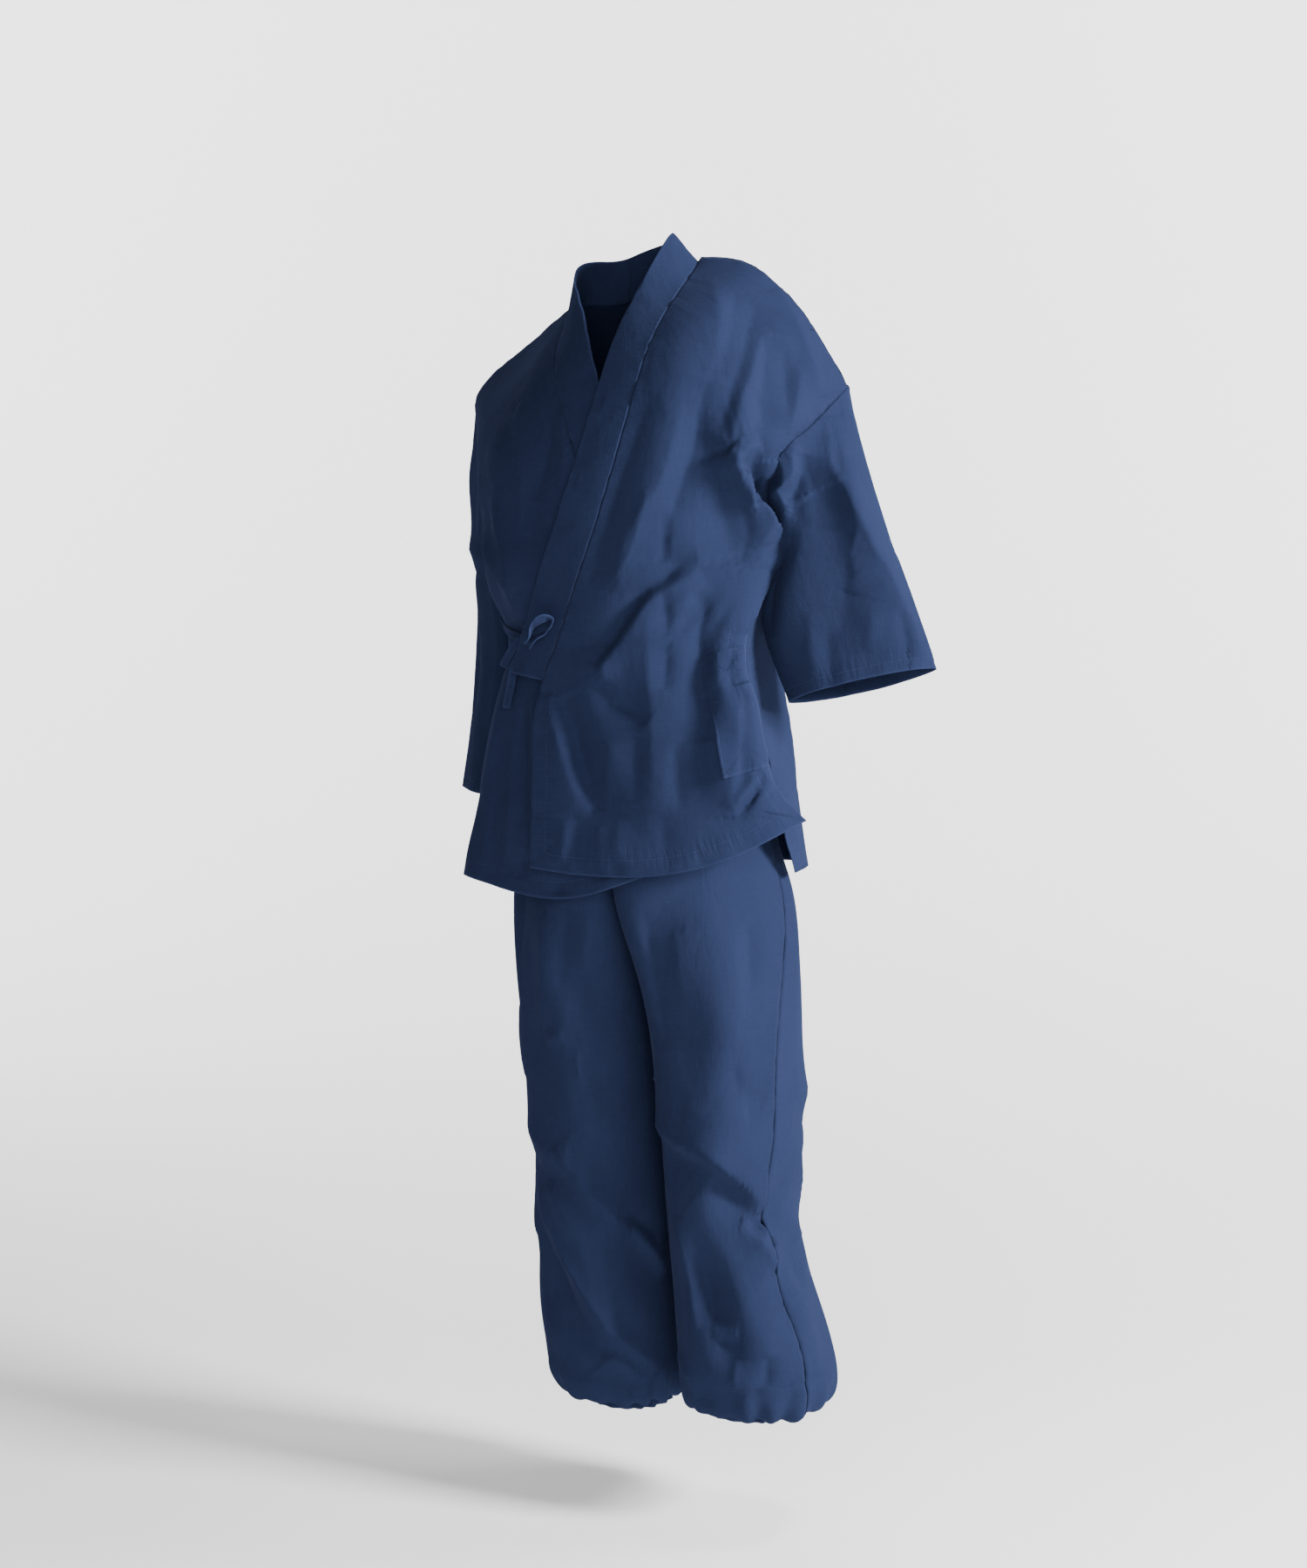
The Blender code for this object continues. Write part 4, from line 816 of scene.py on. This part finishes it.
def gather(cloths):
    """Gathers the ends of the legs over the ankle elastic.

    Slow waves round the ankle change the spacing, the height and the length of the gathers.
    """
    count, height, reach = GATHERS
    for ankle, legs in ANKLES.items():
        middle = cloths[ankle].points.mean(axis=0)
        for node in (ankle, *legs):
            cloth = cloths[node]
            apart = cloth.points - middle
            turn = np.arctan2(apart[:, 0], apart[:, 1])
            spacing = 0.9 * np.sin(2 * turn + 0.7) + 0.5 * np.sin(5 * turn)
            swing = 0.65 + 0.35 * np.sin(3 * turn + 1.1)
            rise = height * MM * swing * np.sin(count * turn + spacing)
            up = np.maximum(apart[:, 2], 0.0) / MM / (reach * (1.0 + 0.35 * np.sin(7 * turn)))
            cloth.shift += cloth.out * (rise * np.exp(-up**2))[:, None]


def puckers(along, distance, size, seed):
    """The height of the puckers at a place along an edge and a distance from it."""
    height, length, reach = size
    line = np.stack([along / length, distance / (2 * reach), np.zeros_like(along)], axis=1)
    return height * MM * noise(line, (1.0, 1.0, 1.0), seed) * np.exp(-(distance / reach) ** 2)


def crease_all(cloths):
    """Presses every crease into the cloth."""
    for cloth in cloths.values():
        cloth.shift = np.zeros_like(cloth.points)
        for seed, (height, across, along) in enumerate(SLACK):
            rise = height * MM * noise(cloth.points, (across, across, along), seed)
            cloth.shift += cloth.out * rise[:, None]
        rise = puckers(cloth.along, cloth.edge, HEM_PUCKERS, 5)
        rise += puckers(cloth.along, cloth.seam, SEAM_PUCKERS, 6)
        cloth.shift += cloth.out * rise[:, None]
    gather(cloths)
    pull_all(cloths)
    for (angle, node, moved), table in CREASES.items():
        for row in table.strip().splitlines():
            height, left, right, line = row.split(maxsplit=3)
            size = (float(height), float(left), float(right))
            press(cloths, angle, node, moved.split(), *size, line_of(line))
    for cloth in cloths.values():
        cloth.points += cloth.shift
        cloth.piece.data.vertices.foreach_set("co", cloth.points.ravel())
        cloth.piece.data.update()


# A sleeve's axis is found from one in so many of its points.
AXIS_EVERY = 7


def thread_places(cloth, guide):
    """Places across and along the threads in millimetres.

    They run round the axis of the sleeve or leg that guides them, or else round the upright at the neck.
    """
    middle = guide.points.mean(axis=0)
    way = np.array([0.0, 0.0, 1.0])
    if "sleeve" in guide.node:
        way = np.linalg.svd(guide.points[::AXIS_EVERY] - middle, full_matrices=False)[2][0]
    elif "leg" not in guide.node:
        middle = np.zeros(3)
    way = way * np.sign(way[2])
    turn = math.radians(FRONT)
    toward = np.array([math.sin(turn), -math.cos(turn), 0.0])
    toward = toward - way * toward.dot(way)
    toward /= np.linalg.norm(toward)
    apart = cloth.points - middle
    angle = np.arctan2(apart @ np.cross(way, toward), apart @ toward)
    radius = np.hypot(apart @ np.cross(way, toward), apart @ toward).mean()
    return angle * radius / MM, apart @ way / MM


# The pocket's hem in millimetres: how far down it reaches and how far from the edge it is sewn.
POCKET_TOP = 26.0
POCKET_HEM = 20.0


def mark(cloths):
    """Writes what the material reads: thread places, and distances from stitches, hems and seams."""
    for cloth in cloths.values():
        across, up = thread_places(cloth, cloths[cloth.row["threads"]])
        band = np.full(len(cloth.points), cloth.row["stitch"])
        if cloth.node == "pocket":
            band[cloth.points[:, 2] > cloth.points[:, 2].max() - POCKET_TOP * MM] = POCKET_HEM
        mesh = cloth.piece.data
        for name, values in (("across", across), ("up", up), ("along", cloth.along), ("edge", cloth.edge),
                             ("past", cloth.edge - band), ("seam", cloth.seam)):
            mesh.attributes.new(name, "FLOAT", "POINT").data.foreach_set("value", values.astype(np.float32))


class Graph:
    """Short names for the nodes of a material."""

    def __init__(self, material):
        self.nodes, self.links = material.node_tree.nodes, material.node_tree.links

    def feed(self, socket, value):
        """A value or another node's output into a socket."""
        if isinstance(value, (int, float, tuple)):
            socket.default_value = value
        else:
            self.links.new(value, socket)

    def read(self, name):
        """A value written on the cloth's points."""
        node = self.nodes.new("ShaderNodeAttribute")
        node.attribute_name = name
        return node.outputs["Fac"]

    def math(self, kind, *values):
        """The output of a math node of this kind."""
        node = self.nodes.new("ShaderNodeMath")
        node.operation = kind
        for socket, value in zip(node.inputs, values):
            self.feed(socket, value)
        return node.outputs[0]

    def add(self, *values):
        """The sum of the values."""
        total = values[0]
        for value in values[1:]:
            total = self.math("ADD", total, value)
        return total

    def times(self, *values):
        """The product of the values."""
        total = values[0]
        for value in values[1:]:
            total = self.math("MULTIPLY", total, value)
        return total

    def bell(self, value, width):
        """1 where the value is 0, fading to nothing beyond this width."""
        part = self.math("DIVIDE", value, width)
        return self.math("EXPONENT", self.times(part, part, -1.0))

    def noise(self, x, y, detail, seed):
        """Noise from -1 to 1 over two values."""
        place = self.nodes.new("ShaderNodeCombineXYZ")
        for socket, value in zip(place.inputs, (x, y, seed)):
            self.feed(socket, value)
        node = self.nodes.new("ShaderNodeTexNoise")
        node.inputs["Scale"].default_value = 1.0
        node.inputs["Detail"].default_value = detail
        self.links.new(place.outputs[0], node.inputs["Vector"])
        return self.math("MULTIPLY_ADD", node.outputs["Fac"], 2.0, -1.0)


NAVY = (0.0137, 0.0193, 0.0466)

# Millimetres: from one thread to the next, the length of a stitch with its gap, and half of its width.
THREAD = 0.55
STITCH_LENGTH = 3.4
STITCH_WIDTH = 0.42
# How much of that length is thread.
STITCH_SHARE = 0.66

# Noise in the cotton: the two distances it varies over, with its turns for each millimetre of them, then its
# detail and its seed.
NOISES = """
name         over   turns and_over and_turns detail seed
slubs_up     across 1.1   up       0.035     2      1
slubs_across across 0.035 up       1.1       2      4
crumple      across 0.075 up       0.045     3      7
broad        across 0.012 up       0.008     2      9
hem_puckers  along  0.16  past     0.03      2      2
seam_puckers along  0.2   seam     0.05      2      3
"""
# What fades away from a row of stitches, a seam or a free edge, and over how many millimetres. The thin line
# along a free edge is a painted highlight.
FADING = """
name          from width
near_stitches past 14
near_seam     seam 9
stitch_groove past 0.8
seam_groove   seam 1.0
edge_line     edge 1.6
"""
# What the surface shows: its height in millimetres, and how much lighter it makes the colour. The lightening
# along free edges is a painted highlight.
RELIEF = """
name          height shade
weave         0.035  0.10
slubs         0.045  0.10
crumple       0.55   0
broad         0      0.10
doubled       0.30   0
stitch_groove -0.25  0
thread        0.22   0.5
edge_line     0      0.35
hem_puckers   0.9    0
seam_puckers  0.8    0
seam_groove   -0.5   0
"""


def relief_parts(graph):
    """Everything that NOISES, FADING and RELIEF name, as outputs of nodes."""
    part = {name: graph.read(name) for name in ("across", "up", "along", "edge", "past", "seam")}
    for row in rows(NOISES):
        over = graph.times(part[row["over"]], row["turns"])
        and_over = graph.times(part[row["and_over"]], row["and_turns"])
        part[row["name"]] = graph.noise(over, and_over, row["detail"], row["seed"])
    for row in rows(FADING):
        part[row["name"]] = graph.bell(part[row["from"]], row["width"])
    part["slubs"] = graph.add(part["slubs_up"], part["slubs_across"])
    part["hem_puckers"] = graph.times(part["hem_puckers"], part["near_stitches"])
    part["seam_puckers"] = graph.times(part["seam_puckers"], part["near_seam"])
    warp, weft = (graph.math("SINE", graph.times(part[name], math.pi / THREAD)) for name in ("across", "up"))
    part["weave"] = graph.times(warp, weft)
    stitch = graph.math("FRACT", graph.math("DIVIDE", part["along"], STITCH_LENGTH))
    on_stitch = graph.math("LESS_THAN", stitch, STITCH_SHARE)
    on_row = graph.math("LESS_THAN", graph.math("ABSOLUTE", part["past"]), STITCH_WIDTH)
    part["thread"] = graph.times(on_stitch, on_row)
    part["doubled"] = graph.math("LESS_THAN", part["past"], 0.0)
    return part


def cotton(name, colour):
    """Plain-woven cotton with faint slubs, stitches, hems and seams where its points say, and a painted
    highlight along its free edges.
    """
    material = bpy.data.materials.new(name)
    material.use_nodes = True
    graph = Graph(material)
    part = relief_parts(graph)
    heights = {row["name"]: row["height"] for row in rows(RELIEF) if row["height"]}
    shades = {row["name"]: row["shade"] for row in rows(RELIEF) if row["shade"]}
    height = graph.add(*(graph.times(part[name], value) for name, value in heights.items()))
    # The colour is lightened by the weave, slubs, broad tone and stitch thread, and by a painted highlight
    # along free edges.
    shade = graph.add(1.0, *(graph.times(part[name], value) for name, value in shades.items()))
    bump = graph.nodes.new("ShaderNodeBump")
    bump.inputs["Strength"].default_value = 0.8
    bump.inputs["Distance"].default_value = MM
    graph.links.new(height, bump.inputs["Height"])
    tone = graph.nodes.new("ShaderNodeVectorMath")
    tone.operation = "SCALE"
    tone.inputs[0].default_value = colour
    graph.links.new(shade, tone.inputs["Scale"])
    shader = graph.nodes["Principled BSDF"]
    graph.links.new(tone.outputs[0], shader.inputs["Base Color"])
    graph.links.new(bump.outputs[0], shader.inputs["Normal"])
    graph.links.new(graph.math("MULTIPLY_ADD", part["slubs"], 0.06, 0.86), shader.inputs["Roughness"])
    shader.inputs["Specular IOR Level"].default_value = 0.0
    shader.inputs["Sheen Weight"].default_value = 0.04
    shader.inputs["Sheen Roughness"].default_value = 0.4
    shader.inputs["Sheen Tint"].default_value = (0.45, 0.55, 1.0, 1.0)
    return material


def stage_piece(name, mesh, material):
    """A piece of the set behind the garment."""
    piece = bpy.data.objects.new(name, mesh)
    bpy.context.scene.collection.objects.link(piece)
    piece.data.materials.append(material)
    return piece


def plain(name, colour):
    """A dull material of one colour."""
    material = bpy.data.materials.new(name)
    material.use_nodes = True
    shader = material.node_tree.nodes["Principled BSDF"]
    shader.inputs["Base Color"].default_value = (*colour, 1.0)
    shader.inputs["Roughness"].default_value = 0.9
    return material


# The sweep in metres: the floor's height, how far the floor reaches in front of the set and behind it, the
# radius of its bend, the height of the wall and half of its width.
FLOOR = -1.484
FLOOR_FRONT = -24.0
FLOOR_BACK = 3.0
BEND = 2.5
WALL = 9.0
HALF_WIDTH = 12.0
# The first angle of the bend, and how many it has up to the wall.
FIRST_BEND = 0.05
BEND_STEPS = 24
PALE = (0.86, 0.86, 0.87)
WORLD_LIGHT = 0.20

# Square lamps: where each is and where it points in metres, its power in watts and its side in metres.
LIGHTS = """
name             x    y    z   to_x to_y to_z power size
light_right      3.7  -0.1 0.9 0.05 0.0  -0.6 520   0.9
light_front      1.9  -4.0 0.5 0.05 0.0  -0.8 150   2.2
light_above      1.2  0.8  2.5 0.1  0.0  -0.2 60    0.8
light_wall_left  -3.4 0.6  1.6 -4.6 5.0  0.3  330   1.6
light_wall_right 2.2  3.2  1.6 0.2  6.4  0.3  330   1.6
"""


def sweep():
    """A pale floor that bends up into a wall behind the set."""
    turn = math.radians(FRONT)
    ahead = np.array([-math.sin(turn), math.cos(turn), 0.0])
    across = np.array([math.cos(turn), math.sin(turn), 0.0])
    profile = [(FLOOR_FRONT, 0.0), (FLOOR_BACK, 0.0)]
    for bend in np.linspace(FIRST_BEND, math.pi / 2, BEND_STEPS):
        profile.append((FLOOR_BACK + BEND * math.sin(bend), BEND - BEND * math.cos(bend)))
    profile.append((FLOOR_BACK + BEND, WALL))
    corners = []
    for far, rise in profile:
        for side in (-HALF_WIDTH, HALF_WIDTH):
            corners.append(tuple(ahead * far + across * side + np.array([0.0, 0.0, FLOOR + rise])))
    faces = [(2 * i, 2 * i + 1, 2 * i + 3, 2 * i + 2) for i in range(len(profile) - 1)]
    mesh = bpy.data.meshes.new("sweep")
    mesh.from_pydata(corners, [], faces)
    mesh.polygons.foreach_set("use_smooth", [True] * len(mesh.polygons))
    stage_piece("floor", mesh, plain("pale_floor", PALE))


def studio():
    """The sweep, soft light from the right and an even, weak light from all round."""
    sweep()
    for row in rows(LIGHTS):
        lamp = bpy.data.lights.new(row["name"], "AREA")
        lamp.energy, lamp.size = row["power"], row["size"]
        light = bpy.data.objects.new(row["name"], lamp)
        bpy.context.scene.collection.objects.link(light)
        light.location = (row["x"], row["y"], row["z"])
        aim = Vector((row["to_x"], row["to_y"], row["to_z"])) - light.location
        light.rotation_mode = "QUATERNION"
        light.rotation_quaternion = aim.to_track_quat("-Z", "Y")
    world = bpy.data.worlds.new("studio")
    bpy.context.scene.world = world
    world.use_nodes = True
    world.node_tree.nodes["Background"].inputs["Color"].default_value = (1.0, 1.0, 1.0, 1.0)
    world.node_tree.nodes["Background"].inputs["Strength"].default_value = WORLD_LIGHT


# The height of the camera's sensor in millimetres.
SENSOR = 36.0


def camera():
    """The camera that sees the set as in the picture."""
    eye, _, _, forward = view(FRONT)
    lens = bpy.data.cameras.new("camera")
    lens.sensor_width = SENSOR
    lens.lens = SENSOR * FOCAL_POINTS / PICTURE[1]
    seen_by = bpy.data.objects.new("camera", lens)
    bpy.context.scene.collection.objects.link(seen_by)
    seen_by.location = eye
    seen_by.rotation_mode = "QUATERNION"
    seen_by.rotation_quaternion = forward.to_track_quat("-Z", "Y")
    bpy.context.scene.camera = seen_by


def declare(cloths):
    """Hangs each piece on the root body and hides the solid that it stands for."""
    for node, cloth in cloths.items():
        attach(cloth.piece, "root")
        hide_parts(node)
    for row in rows(CLOTH):
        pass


def main():
    """Builds the dressed pieces, then the set round them and the camera."""
    navy = cotton("navy_cotton", NAVY)
    cloths = {}
    for row in [*rows(CLOTH), KNOT]:
        node = row["node"]
        cloths[node] = Cloth(ribbon(node) if node in RIBBONS else shell(node, row["halved"]), row)
    close_seams(cloths)
    mark(cloths)
    crease_all(cloths)
    for cloth in cloths.values():
        cloth.piece.data.materials.clear()
        cloth.piece.data.materials.append(navy)
    declare(cloths)
    studio()
    camera()


main()
